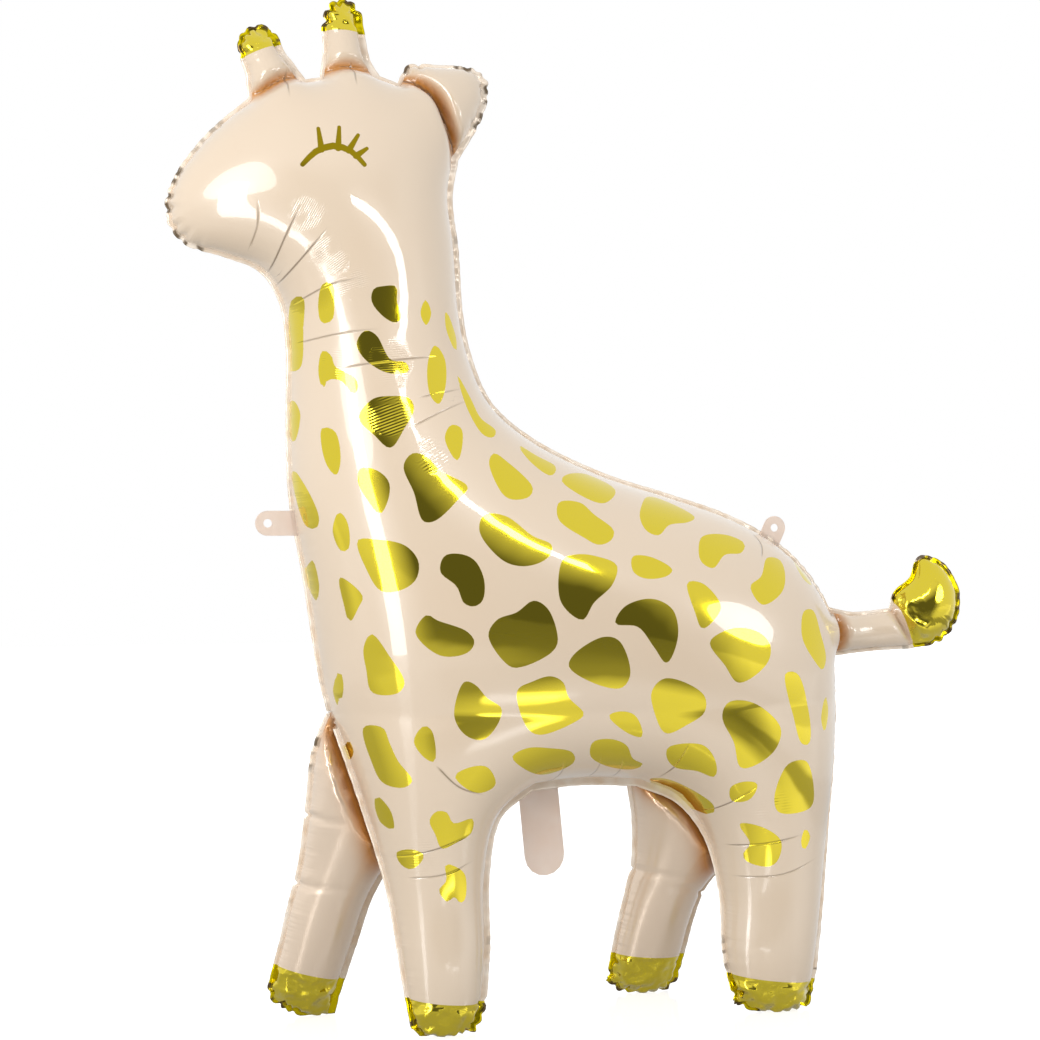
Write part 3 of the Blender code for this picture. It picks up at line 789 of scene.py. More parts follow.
# %% Pinches across the far legs
# The route of a pinch, from the notch inward, in mm
PINCHES = [[(131, 141), (160, 138), (196, 134)], [(141, 210), (168, 206), (196, 202)],
           [(489, 137), (520, 134), (550, 128)], [(573, 106), (548, 118), (522, 121)]]
PINCH_DEPTH = 0.0028
PINCH_HALF = 2.2         # mm, half width of a pinch
SCALLOP_REACH = 0.007    # how far the gathered outline takes the foil beside it along


def pinch_share(flat_mm):
    """How strongly each place is pinched across a leg, from 0 to 1."""
    share = np.zeros(len(flat_mm))
    for knots in PINCHES:
        line = smooth_stretch(knots, 1.0)
        gap, which = near_points(flat_mm, line)
        share = np.maximum(share, np.exp(-(gap / PINCH_HALF) ** 2) * (1 - 0.85 * which / len(line)))
    return share


def gathered(flat, side, beyond):
    """How far the weld's puckers and pinches pull each place in, as a shift on the pattern."""
    shift = np.zeros((len(flat), 2))
    for weld in welds.values():
        mine = np.nonzero(side == weld.side)[0]
        which, gap, gather = weld.feel(flat[mine])
        pull = SCALLOP_DEPTH * gather
        if weld.side > 0:
            pull = pull + PINCH_DEPTH * pinch_share(flat[mine] / MM)
        fade = np.exp(-gap / SCALLOP_REACH) if not beyond else 1 + 100 * gap
        shift[mine] = weld.into[which] * (pull * fade)[:, None]
    return shift


print("pinches:", len(PINCHES))

# %% [markdown]
# ## Puckered skin
#
# The skin is one mesh now. Before it is moved, each point finds out which flank it belongs to, whether it
# lies on an outer sheet, and where it is on the flat pattern.

# %% Where each point of the skin lies
count = len(skin_mesh.vertices)
place = read_rows(skin_mesh.vertices)
normal = read_rows(skin_mesh.vertex_normals, "vector")
flat = np.stack([place[:, 0] + middle, place[:, 2]], axis=1)
flat_mm = flat / MM
corner_points = np.empty(len(skin_mesh.loops), int)
skin_mesh.loops.foreach_get("vertex_index", corner_points)
sizes = np.empty(len(skin_mesh.polygons), int)
skin_mesh.polygons.foreach_get("loop_total", sizes)
sheet_of_corner = np.repeat(sheet_of_face, sizes)
side = np.full(count, 1)
outer = np.zeros(count, bool)
for k, (sheet_side, is_inner) in enumerate(SHEETS):
    on_sheet = corner_points[sheet_of_corner == k]
    if sheet_side < 0:
        side[on_sheet] = -1
    if not is_inner:
        outer[on_sheet] = True
lift = np.abs(place[:, 1] - weld_plane(place[:, 2], side))
print("skin points", count, "on the outer sheets", int(outer.sum()))

# %% [markdown]
# A pucker is a dent that starts at the weld and fades into the foil. It moves each point along its normal, and
# the gathered outline moves it along the pattern.

# %% Pucker the skin
DENT_START = 0.0015      # a dent is nothing at the weld itself and full beyond about this distance
PINCH_START = 0.004
reach = np.zeros(count)
push = np.zeros(count)
foot = np.zeros((count, 3))
for weld in welds.values():
    mine = np.nonzero(side == weld.side)[0]
    which, gap, gather = weld.feel(flat[mine])
    ring = weld.ring
    reach[mine] = np.hypot(gap, lift[mine])
    foot[mine] = np.stack([ring[which, 0], np.full(len(mine), 0.3 * weld.side), ring[which, 1]], axis=1)
    fade = np.exp(-reach[mine] / PUCKER_REACH) * (1 - np.exp(-reach[mine] / DENT_START))
    push[mine] = -PUCKER_DEPTH * (gather - 0.3) * fade
pinched = np.where(side > 0, pinch_share(flat_mm), 0)
push -= PINCH_DEPTH * 0.6 * pinched * (1 - np.exp(-reach / PINCH_START))
shift = gathered(flat, side, beyond=False)
place[:, 0] += shift[:, 0]
place[:, 2] += shift[:, 1]
place += normal * push[:, None]
place[:, 2] = np.maximum(place[:, 2], 0)
skin_mesh.vertices.foreach_set("co", place.ravel())
skin_mesh.update()
print("deepest dent %.1f mm" % (-1000 * push.min()))

# %% [markdown]
# ## What the foil stores
#
# A crease line gives each point beside it a signed distance and a depth, which fades at both ends.

# %% Distance to the long creases
crease_gap = np.full(count, CREASE_REACH)
crease_near = np.full(count, 3 * CREASE_REACH)
crease_depth = np.zeros(count)
for knots, depth in CREASES:
    line = smooth_stretch(knots, 1.0)
    gap, which = near_points(flat_mm, line)
    close = np.nonzero(outer & (gap < crease_near))[0]
    crease_near[close] = gap[close]
    k = np.clip(which[close], 1, len(line) - 2)
    along = line[k + 1] - line[k - 1]
    along /= np.linalg.norm(along, axis=1)[:, None]
    away = flat_mm[close] - line[k]
    signed = along[:, 0] * away[:, 1] - along[:, 1] * away[:, 0]
    share = which[close] / len(line)
    ends = np.linalg.norm(away, axis=1) - np.abs(signed)
    crease_gap[close] = signed
    crease_depth[close] = depth * blend(0, 0.12, share) * (1 - blend(0.6, 1.0, share)) \
        * (1 - blend(3.0, CREASE_REACH, np.abs(signed))) * (1 - blend(0.5, 4.0, ends))
print("points beside a crease", int(np.sum(crease_depth > 0)))

# %% [markdown]
# A patch of fine wrinkles gives each point a phase, which counts wrinkles across the patch, and a depth.

# %% Phase of the fine wrinkles
hatch_phase = np.zeros(count)
hatch_depth = np.zeros(count)
for centre, radius, direction, spacing, strength in HATCHES:
    away = flat_mm - np.array(centre, float)
    turn = np.radians(direction)
    share = strength * (1 - blend(0.45, 1.0, np.linalg.norm(away, axis=1) / radius)) * outer
    mine = share > hatch_depth
    hatch_depth[mine] = share[mine]
    hatch_phase[mine] = ((away[:, 1] * np.cos(turn) - away[:, 0] * np.sin(turn)) / spacing)[mine]
print("points in a wrinkled patch", int(np.sum(hatch_depth > 0)))

# %% [markdown]
# Foil that is tucked in looks amber, because light bounces in it and takes on the film's colour each time.
# That is so in the folds, and inside the legs where left and right touch. This is painted into the colour:
# amber as painted bounce light, and dark brown at the deepest as painted shade.

# %% Tucked foil
# A tuck: its fold, and the width in mm and depth of its tint
TUCKS = [(EAR_FOLD, 5.5, 1.0), (FRONT_HORN_FOLD, 4.0, 0.95), (REAR_HORN_FOLD, 4.0, 0.95),
         (TAIL_FOLD, 6.0, 0.9), (TUFT_FOLD, 3.0, 0.4)]
TUCK_REACH = 0.017       # gap between the legs up to which their foil counts as tucked
TUCK_TOUCH = 0.98        # how deep the tint is where they touch
tuck_bounce_and_shade = np.zeros(count)
for fold, width, depth in TUCKS:
    gap, _ = near_points(flat_mm, smooth_stretch(fold, 1.0))
    tuck_bounce_and_shade = np.maximum(tuck_bounce_and_shade, depth * np.exp(-(gap / width) ** 2))
tree = KDTree(count)
for k in np.nonzero((side < 0) & (flat[:, 1] < split * 1.15))[0]:
    tree.insert(place[k], k)
tree.balance()
far_inner = np.nonzero((side > 0) & ~outer)[0]
near_gap = np.array([tree.find(place[k])[2] for k in far_inner])
tuck_bounce_and_shade[far_inner] = np.maximum(tuck_bounce_and_shade[far_inner], TUCK_TOUCH * np.exp(-(near_gap / TUCK_REACH) ** 2))
print("far leg to near leg, closest", float(near_gap.min()))

# %% [markdown]
# The print lies on the outer sheets, but the gold ends go all the way round. Beyond its fold, the round top of
# the tuft is smoother than the other gold ends.

# %% Store the print and the relief
gold = np.where(outer, print_gap(flat_mm), OUTSIDE)
ends = end_gap(flat_mm, side)
gold = np.maximum(gold, ends)
from_fold, _ = near_points(flat_mm, smooth_stretch(TUFT_FOLD, 1.0))
calm = np.where(flat_mm[:, 0] > TUFT_START, 1 - blend(8.0, 30.0, from_fold), 1.0)
stored = {"gold_gap": gold, "crease_gap": crease_gap, "crease_depth": crease_depth,
          "weld_reach": reach * 1000, "inner_foil": 1.0 - outer, "tuck_bounce_and_shade": tuck_bounce_and_shade,
          "hatch_phase": hatch_phase, "hatch_depth": hatch_depth, "crumple": blend(1.0, 7.0, ends) * calm}
for name, values in stored.items():
    store(skin_mesh, name, values)
layer = skin_mesh.attributes.new("weld_foot", "FLOAT_VECTOR", "POINT")
layer.data.foreach_set("vector", foot.astype(np.float32).ravel())
print("skin faces", len(skin_mesh.polygons), "gold share %.2f" % np.mean(gold > 0))

# %% [markdown]
# ## Foil
#
# One material carries the whole print: pearl film with mirror gold where the print says so, and bare peach
# film on the inner sheets. Small helpers keep its node tree readable.

# %% Helpers for node trees
def add_node(tree, kind, **settings):
    """A node with some of its inputs or settings given by name."""
    node = tree.nodes.new(kind)
    for key, value in settings.items():
        key = key.replace("_", " ") if key.replace("_", " ") in node.inputs else key
        if key in node.inputs:
            node.inputs[key].default_value = value
        else:
            setattr(node, key, value)
    return node


def math_node(tree, operation, first, second=None):
    """A maths node fed by sockets or plain numbers."""
    node = add_node(tree, "ShaderNodeMath", operation=operation)
    for socket, value in zip(node.inputs, (first, second)):
        if value is None:
            continue
        if isinstance(value, (int, float)):
            socket.default_value = value
        else:
            tree.links.new(value, socket)
    return node.outputs[0]


def product(tree, first, *others):
    """Several sockets or numbers multiplied."""
    for other in others:
        first = math_node(tree, "MULTIPLY", first, other)
    return first


def total(tree, first, *others):
    """Several sockets or numbers added."""
    for other in others:
        first = math_node(tree, "ADD", first, other)
    return first


def attribute(tree, name, output="Fac"):
    """A value stored on the mesh."""
    return add_node(tree, "ShaderNodeAttribute", attribute_name=name).outputs[output]


def ramp_between(tree, value, low, high, start, end):
    """A value mapped from one range to another and held at its ends."""
    node = add_node(tree, "ShaderNodeMapRange", From_Min=low, From_Max=high, To_Min=start, To_Max=end)
    tree.links.new(value, node.inputs["Value"])
    return node.outputs["Result"]


def mix_colours(tree, share, first, second):
    """Two colours mixed, each a socket or a plain colour."""
    node = add_node(tree, "ShaderNodeMix", data_type="RGBA")
    tree.links.new(share, node.inputs[0])
    for socket, value in ((node.inputs[6], first), (node.inputs[7], second)):
        if isinstance(value, tuple):
            socket.default_value = (*value, 1)
        else:
            tree.links.new(value, socket)
    return node.outputs[2]


def noise(tree, vector, scale, detail=2.0, roughness=0.5):
    """A noise between 0 and 1."""
    node = add_node(tree, "ShaderNodeTexNoise", Scale=scale, Detail=detail, Roughness=roughness)
    tree.links.new(vector, node.inputs["Vector"])
    return node.outputs["Fac"]


def new_material(name):
    """A material, its node tree, its shader, and the socket that gives a point's place on the object."""
    material = bpy.data.materials.new(name)
    material.use_nodes = True
    tree = material.node_tree
    spot = add_node(tree, "ShaderNodeTexCoord").outputs["Object"]
    return material, tree, tree.nodes["Principled BSDF"], spot


def bumped(tree, shader, height):
    """Give a shader relief whose height is in millimetres, and return the bent normal."""
    bump = add_node(tree, "ShaderNodeBump", Distance=0.001, Strength=1.0)
    tree.links.new(height, bump.inputs["Height"])
    tree.links.new(bump.outputs["Normal"], shader.inputs["Normal"])
    return bump.outputs["Normal"]


# %% [markdown]
# The eye is finer than the net, so it is drawn in the shader. Each brush stroke is a straight line with round
# ends, and the arc is a chain of short strokes that swells in the middle.

# %% Distance into the sleeping eye
def stroke_gap(tree, place, start, end, half_start, half_end):
    """Distance into one straight brush stroke with round ends, in millimetres on the flat pattern."""

    def vector(operation, first, second=None, scale=None):
        node = add_node(tree, "ShaderNodeVectorMath", operation=operation)
        for socket, value in zip(node.inputs, (first, second)):
            if isinstance(value, tuple):
                socket.default_value = value
            elif value is not None:
                tree.links.new(value, socket)
        if scale is not None:
            tree.links.new(scale, node.inputs["Scale"])
        return node

    along = (end[0] - start[0], 0.0, end[1] - start[1])
    length = along[0] ** 2 + along[2] ** 2
    from_start = vector("SUBTRACT", place, (start[0], 0.0, start[1])).outputs["Vector"]
    dot = vector("DOT_PRODUCT", from_start, along).outputs["Value"]
    share = ramp_between(tree, dot, 0, length, 0, 1)
    on_line = vector("SCALE", along, scale=share).outputs["Vector"]
    gap = vector("DISTANCE", from_start, on_line).outputs["Value"]
    half = ramp_between(tree, share, 0, 1, half_start, half_end)
    return math_node(tree, "SUBTRACT", half, gap)


def eye_gap(tree, spot):
    """Distance into the sleeping eye: one arc of short strokes, and its lashes."""
    place = add_node(tree, "ShaderNodeVectorMath", operation="MULTIPLY_ADD")
    tree.links.new(spot, place.inputs[0])
    place.inputs[1].default_value = (1 / MM, 0, 1 / MM)
    place.inputs[2].default_value = (middle / MM, 0, 0)
    place = place.outputs["Vector"]
    arc = smooth_stretch(EYE_ARC, 9.0)
    arc = np.vstack([arc, EYE_ARC[-1]])
    swell = EYE_STROKE / 2 * (0.75 + 0.45 * np.sin(np.linspace(0.15, np.pi - 0.15, len(arc))))
    strokes = [(arc[k], arc[k + 1], swell[k], swell[k + 1]) for k in range(len(arc) - 1)]
    strokes += [(root, tip, LASH_STROKE / 2, LASH_STROKE * 0.28) for root, tip in EYE_LASHES]
    inside = None
    for root, tip, half_root, half_tip in strokes:
        gap = stroke_gap(tree, place, tuple(map(float, root)), tuple(map(float, tip)), half_root, half_tip)
        inside = gap if inside is None else math_node(tree, "MAXIMUM", inside, gap)
    return inside


# %% [markdown]
# The colours are linear. They were changed until the evenly lit parts of the render came out like those of
# the photograph. The pearl film is a plain colour under a clear coat, with a little sheen at its edges. The
# gold is a mirror.

# %% Colours of the foil
PEARL = (0.69, 0.562, 0.425)
# Darker pearl: its own uneven tone in patches, and painted shade beside the weld
PEARL_TONE_AND_SHADE = (0.665, 0.51, 0.36)
GOLD = (0.735, 0.59, 0.004)
EYE_PRINT = (0.32, 0.235, 0.007)
# Painted shade at the deepest of a tuck
TUCK_SHADE_CORE = (0.13, 0.05, 0.012)
# Painted shade along a long crease
CREASE_SHADE = (0.20, 0.13, 0.065)
BARE = (0.80, 0.64, 0.49)
# Painted bounce light in tucks
BOUNCE_AMBER = (0.56, 0.24, 0.05)
PRINT_EDGE = 0.25        # mm over which the print's edge is softened
CREASE_WIDTH = 0.8       # mm, half width of a long crease
CREASE_CUT = 0.8         # mm that a long crease cuts in
CRIMP_REACH = 11.0       # mm over which the crimps beside the weld fade
CRIMP_SCALE = 210.0      # crimps in a metre of weld
CRIMP_HEIGHT = 1.3       # mm
WAVE_HEIGHT = 0.22       # mm, the slow waviness of blown foil
print("pearl", PEARL, "gold", GOLD)

# %% Colour and relief of the foil
def crease_cut(tree):
    """How deeply a long crease cuts in at each place, from 0 to 1."""
    narrow = math_node(tree, "DIVIDE", attribute(tree, "crease_gap"), CREASE_WIDTH)
    narrow = math_node(tree, "POWER", narrow, 2.0)
    return product(tree, math_node(tree, "EXPONENT", product(tree, narrow, -1.0)),
                   attribute(tree, "crease_depth"))


def film_colour(tree, spot, cut):
    """The film without its print: pearl with painted shade beside the weld, bare inside the legs, painted
    amber light and dark shade where it is tucked, and painted shade along the creases.
    """
    # Pearl turns a little more peach in slow patches, its own uneven tone, and beside the weld it is darkened
    # as painted shade
    patch = ramp_between(tree, noise(tree, spot, 9.0), 0.35, 0.7, 0, 0.25)
    weld_painted_shade = ramp_between(tree, attribute(tree, "weld_reach"), 0, 12, 0.5, 0)
    film = mix_colours(tree, math_node(tree, "MAXIMUM", patch, weld_painted_shade), PEARL, PEARL_TONE_AND_SHADE)
    film = mix_colours(tree, attribute(tree, "inner_foil"), film, BARE)
    tuck_share_painted = attribute(tree, "tuck_bounce_and_shade")
    # Tucks are painted amber as bounce light, and dark at the deepest as shade
    film = mix_colours(tree, ramp_between(tree, tuck_share_painted, 0, 0.75, 0, 1), film, BOUNCE_AMBER)
    film = mix_colours(tree, ramp_between(tree, tuck_share_painted, 0.80, 1.0, 0, 0.9), film, TUCK_SHADE_CORE)
    # Along a long crease the film is darkened as painted shade
    return mix_colours(tree, ramp_between(tree, cut, 0, 1, 0, 0.85), film, CREASE_SHADE)


def foil_relief(tree, spot, cut):
    """Height of the relief that is too fine for the net, in millimetres."""
    fade = math_node(tree, "DIVIDE", attribute(tree, "weld_reach"), -CRIMP_REACH)
    crimp = noise(tree, attribute(tree, "weld_foot", "Vector"), CRIMP_SCALE, 1.0)
    crimp = product(tree, math_node(tree, "SUBTRACT", crimp, 0.5), math_node(tree, "EXPONENT", fade),
                    CRIMP_HEIGHT)
    wave = product(tree, noise(tree, spot, 28.0, 1.0), WAVE_HEIGHT)
    # Fine wrinkles: a sine across the patch, a little uneven and broken here and there
    uneven = product(tree, noise(tree, spot, 15.0, 1.0), 0.8)
    phase = total(tree, attribute(tree, "hatch_phase"), uneven)
    broken = ramp_between(tree, noise(tree, spot, 70.0, 1.0), 0.35, 0.65, 0, 1)
    hatch = product(tree, math_node(tree, "SINE", product(tree, phase, 2 * np.pi)), broken,
                    attribute(tree, "hatch_depth"), HATCH_HEIGHT)
    crumple = math_node(tree, "SUBTRACT", noise(tree, spot, CRUMPLE_SCALE, 0.6), 0.5)
    crumple = product(tree, crumple, attribute(tree, "crumple"), CRUMPLE_HEIGHT)
    return total(tree, product(tree, cut, -CREASE_CUT), crimp, wave, hatch, crumple)


# %% Printed foil
def printed_foil():
    """Pearl film with a mirror-gold print, and bare peach film inside the legs."""
    material, tree, shader, spot = new_material("printed_foil")
    link = tree.links.new
    eye = ramp_between(tree, eye_gap(tree, spot), -PRINT_EDGE, PRINT_EDGE, 0, 1)
    gold = ramp_between(tree, attribute(tree, "gold_gap"), -PRINT_EDGE, PRINT_EDGE, 0, 1)
    cut = crease_cut(tree)
    printed = mix_colours(tree, gold, film_colour(tree, spot, cut), GOLD)
    link(mix_colours(tree, eye, printed, EYE_PRINT), shader.inputs["Base Color"])
    mirror = math_node(tree, "MAXIMUM", gold, eye)
    bare_metal = ramp_between(tree, attribute(tree, "inner_foil"), 0, 1, 0.0, 0.4)
    link(math_node(tree, "MAXIMUM", mirror, bare_metal), shader.inputs["Metallic"])
    link(ramp_between(tree, mirror, 0, 1, 0.24, 0.07), shader.inputs["Roughness"])
    link(ramp_between(tree, eye, 0, 1, 0.6, 0.0), shader.inputs["Coat Weight"])
    shader.inputs["Coat IOR"].default_value = 1.8
    shader.inputs["Coat Roughness"].default_value = 0.03
    link(ramp_between(tree, mirror, 0, 1, 0.5, 0), shader.inputs["Sheen Weight"])
    shader.inputs["Sheen Roughness"].default_value = 0.35
    link(bumped(tree, shader, foil_relief(tree, spot, cut)), shader.inputs["Coat Normal"])
    return material


skin_foil = printed_foil()
print("nodes of the printed foil:", len(skin_foil.node_tree.nodes))

# %% [markdown]
# The border is the same foil without air behind it, so it looks paler, and short dashes along its crimped edge
# are painted dark as shade. The tabs and the valve are thin peach film, slightly see-through.

# %% Border foil and valve film
BORDER_FILM = (0.93, 0.84, 0.73)
BORDER_SHADE = (0.82, 0.66, 0.50)
# Painted shade of the dashes along the crimped edge
CRIMP_DASH_SHADE = (0.12, 0.08, 0.04)
VALVE_PALE = (0.97, 0.84, 0.74)
VALVE_PEACH = (0.93, 0.76, 0.64)


def border_foil():
    """The welded edge, with its gold ends and painted shade dashes along its crimped edge."""
    material, tree, shader, spot = new_material("border_foil")
    gold = ramp_between(tree, attribute(tree, "gold_gap"), -PRINT_EDGE, PRINT_EDGE, 0, 1)
    patch = ramp_between(tree, noise(tree, spot, 60.0), 0.3, 0.7, 0, 1)
    film = mix_colours(tree, patch, BORDER_FILM, BORDER_SHADE)
    film = mix_colours(tree, gold, film, GOLD)
    # Dashes of painted shade along the crimped edge
    film = mix_colours(tree, attribute(tree, "crimp_shade_dashes"), film, CRIMP_DASH_SHADE)
    tree.links.new(film, shader.inputs["Base Color"])
    tree.links.new(ramp_between(tree, gold, 0, 1, 0.1, 1.0), shader.inputs["Metallic"])
    shader.inputs["Roughness"].default_value = 0.2
    bumped(tree, shader, product(tree, noise(tree, spot, 200.0, 1.0), 0.15))
    return material


def valve_film():
    """Thin peach film of the valve and the hanging tabs."""
    material, tree, shader, spot = new_material("valve_film")
    patch = ramp_between(tree, noise(tree, spot, 35.0), 0.3, 0.7, 0, 1)
    tree.links.new(mix_colours(tree, patch, VALVE_PALE, VALVE_PEACH), shader.inputs["Base Color"])
    shader.inputs["Roughness"].default_value = 0.28
    shader.inputs["Transmission Weight"].default_value = 0.45
    bumped(tree, shader, product(tree, noise(tree, spot, 90.0, 2.0), 0.25))
    return material


edge_foil = border_foil()
tab_film = valve_film()
print("films:", edge_foil.name, tab_film.name)

# %% [markdown]
# ## Welded border
#
# The flat strip outside the air is swept along the outline by a Geometry Nodes tree, lying on the table. A
# curve's own bevel could sweep it too, but the tree also crimps it in the same step. The strip is wide enough
# for the widest stretch, and its inner part lies hidden inside the air.

# %% The border tree
BORDER_SIZES = {"Width": BORDER_WIDTH + max(REAR_EXTRA, BELLY_EXTRA) + BORDER_ROOT,
                "Thickness": BORDER_THICKNESS, "Crimp depth": 0.0026, "Crimp length": 0.014}


def border_tree():
    """Sweep a flat strip along a curve, crimp it, and give it its foil."""
    tree = bpy.data.node_groups.new("weld_border", "GeometryNodeTree")
    face = tree.interface
    face.new_socket("Geometry", in_out="INPUT", socket_type="NodeSocketGeometry")
    for name, value in BORDER_SIZES.items():
        face.new_socket(name, in_out="INPUT", socket_type="NodeSocketFloat").default_value = value
    face.new_socket("Material", in_out="INPUT", socket_type="NodeSocketMaterial")
    face.new_socket("Geometry", in_out="OUTPUT", socket_type="NodeSocketGeometry")
    link = tree.links.new
    start, stop = tree.nodes.new("NodeGroupInput"), tree.nodes.new("NodeGroupOutput")
    upright = add_node(tree, "GeometryNodeSetCurveNormal", mode="Z_UP")
    link(start.outputs["Geometry"], upright.inputs["Curve"])
    strip = add_node(tree, "GeometryNodeCurvePrimitiveQuadrilateral")
    link(start.outputs["Width"], strip.inputs["Width"])
    link(start.outputs["Thickness"], strip.inputs["Height"])
    finer = add_node(tree, "GeometryNodeSubdivideCurve", Cuts=3)
    link(strip.outputs[0], finer.inputs[0])
    sweep = add_node(tree, "GeometryNodeCurveToMesh")
    sweep.inputs["Fill Caps"].default_value = True
    link(upright.outputs[0], sweep.inputs["Curve"])
    link(finer.outputs[0], sweep.inputs["Profile Curve"])
    # Crimps are slow noise that lifts the strip off the table and presses it down
    place = add_node(tree, "GeometryNodeInputPosition")
    wave = add_node(tree, "ShaderNodeTexNoise", noise_dimensions="2D", Detail=1.0, Roughness=0.4)
    link(place.outputs[0], wave.inputs["Vector"])
    link(math_node(tree, "DIVIDE", 1.0, start.outputs["Crimp length"]), wave.inputs["Scale"])
    centred = math_node(tree, "SUBTRACT", wave.outputs["Fac"], 0.5)
    offset = add_node(tree, "ShaderNodeCombineXYZ")
    link(product(tree, centred, start.outputs["Crimp depth"]), offset.inputs["Z"])
    crimp = add_node(tree, "GeometryNodeSetPosition")
    link(sweep.outputs[0], crimp.inputs["Geometry"])
    link(offset.outputs[0], crimp.inputs["Offset"])
    real = add_node(tree, "GeometryNodeRealizeInstances")
    paint = add_node(tree, "GeometryNodeSetMaterial")
    link(crimp.outputs[0], real.inputs[0])
    link(real.outputs[0], paint.inputs["Geometry"])
    link(start.outputs["Material"], paint.inputs["Material"])
    link(paint.outputs[0], stop.inputs[0])
    return tree


border_nodes = border_tree()
print("nodes of the border tree:", len(border_nodes.nodes))

# %% [markdown]
# The tree runs on a flat curve for the upper edge and one for each pair of legs. Each strip is then stood up
# on its weld plane, and all of them are joined in one mesh.

# %% Sweep the border
def swept_border(line):
    """Run the border tree on a flat line of points and return a plain mesh."""
    curve = bpy.data.curves.new("border_path", "CURVE")
    curve.dimensions = "3D"
    spline = curve.splines.new("POLY")
    spline.points.add(len(line) - 1)
    spline.points.foreach_set("co", np.hstack([line, np.zeros((len(line), 1)),
                                               np.ones((len(line), 1))]).ravel())
    path = bpy.data.objects.new("border_path", curve)
    bpy.context.scene.collection.objects.link(path)
    nodes = path.modifiers.new("weld_border", "NODES")
    nodes.node_group = border_nodes
    values = {**BORDER_SIZES, "Material": edge_foil}
    for item in border_nodes.interface.items_tree:
        if item.in_out == "INPUT" and item.name in values:
            nodes[item.identifier] = values[item.name]
    mesh = evaluated_mesh(path)
    bpy.data.objects.remove(path, do_unlink=True)
    return mesh


def edge_line(stretches):
    """The middle line of a border strip whose free edge is the outline."""
    line = outline_of(stretches, 0.0016)
    along = np.gradient(line, axis=0)
    along /= np.linalg.norm(along, axis=1)[:, None]
    into = np.stack([along[:, 1], -along[:, 0]], axis=1)
    return line + into * BORDER_SIZES["Width"] / 2


border = bmesh.new()
for stretches, flank_side in ((UPPER_EDGE, 0), (NEAR_LEGS, -1), (FAR_LEGS, 1)):
    strip = swept_border(edge_line(stretches))
    points = read_rows(strip.vertices)
    stood = np.stack([points[:, 0] - middle, weld_plane(points[:, 1], flank_side) - points[:, 2],
                      np.maximum(points[:, 1], 0)], axis=1)
    strip.vertices.foreach_set("co", stood.ravel())
    border.from_mesh(strip)
bmesh.ops.recalc_face_normals(border, faces=border.faces)
border_mesh = bpy.data.meshes.new("weld_border")
border.to_mesh(border_mesh)
border.free()
print("border faces", len(border_mesh.polygons))

# %% [markdown]
# The puckers gather the border as they gather the skin, so that the two stay together.

# %% Gather the border
border_place = read_rows(border_mesh.vertices)
border_side = np.where(border_place[:, 1] < 0, -1, 1)
flat_border = np.stack([border_place[:, 0] + middle, border_place[:, 2]], axis=1)
shift = gathered(flat_border, border_side, beyond=True)
border_place[:, 0] += shift[:, 0]
border_place[:, 2] = np.maximum(border_place[:, 2] + shift[:, 1], 0)
border_mesh.vertices.foreach_set("co", border_place.ravel())
print("border gathered by up to %.1f mm" % (1000 * np.linalg.norm(shift, axis=1).max()))

# %% [markdown]
# The crimped edge is darkened in short dashes of painted shade, mostly where the outline curves outward and
# hardly at all on the rump. Two waves of unlike length along the weld make dashes of uneven length.

# %% Painted shade dashes on the crimped edge
DASHES = (0.031, 0.0127)      # lengths of the two waves
EDGE_REACH = 0.0055           # how far in from the free edge a dash can reach
RUMP_SPAN = ((480, 520), (330, 360), (740, 770))      # mm: it begins there, lies above, and ends there
crimp_shade_dashes = np.zeros(len(border_place))
outlines = {-1: outline_of(UPPER_EDGE + NEAR_LEGS, 0.0008), 1: outline_of(UPPER_EDGE + FAR_LEGS, 0.0008)}
for weld in welds.values():
    mine = np.nonzero(border_side == weld.side)[0]
    which, _, _ = weld.feel(flat_border[mine])
    curved = blend(0.0, 9.0, weld.bend[which])
    lobe = sum(np.sin(weld.run[which] * 2 * np.pi / length) for length in DASHES)
    outside = ~inside_ring(flat_border[mine], weld.ring)
    free = 1 - near_points(flat_border[mine], outlines[weld.side])[0] / EDGE_REACH
    x, z = flat_border[mine, 0] / MM, flat_border[mine, 1] / MM
    on_rump = blend(*RUMP_SPAN[0], x) * blend(*RUMP_SPAN[1], z) * (1 - blend(*RUMP_SPAN[2], x))
    crimp_shade_dashes[mine] = curved * blend(-0.2, 0.4, lobe) * blend(0.0, 0.6, free) * outside * (1 - 0.8 * on_rump)
store(border_mesh, "gold_gap", end_gap(flat_border / MM, border_side))
store(border_mesh, "crimp_shade_dashes", crimp_shade_dashes)
print("dark share of the border %.2f" % np.mean(crimp_shade_dashes > 0.5))

# %% [markdown]
# ## Tabs and valve
#
# The two hanging tabs are thin strips with a round end and a punched hole, left standing out of the border. A
# filled curve with a small bevel makes the hole without a Boolean.

# %% A hanging tab
TAB_EDGE = 0.0003        # bevel of the tab's edges


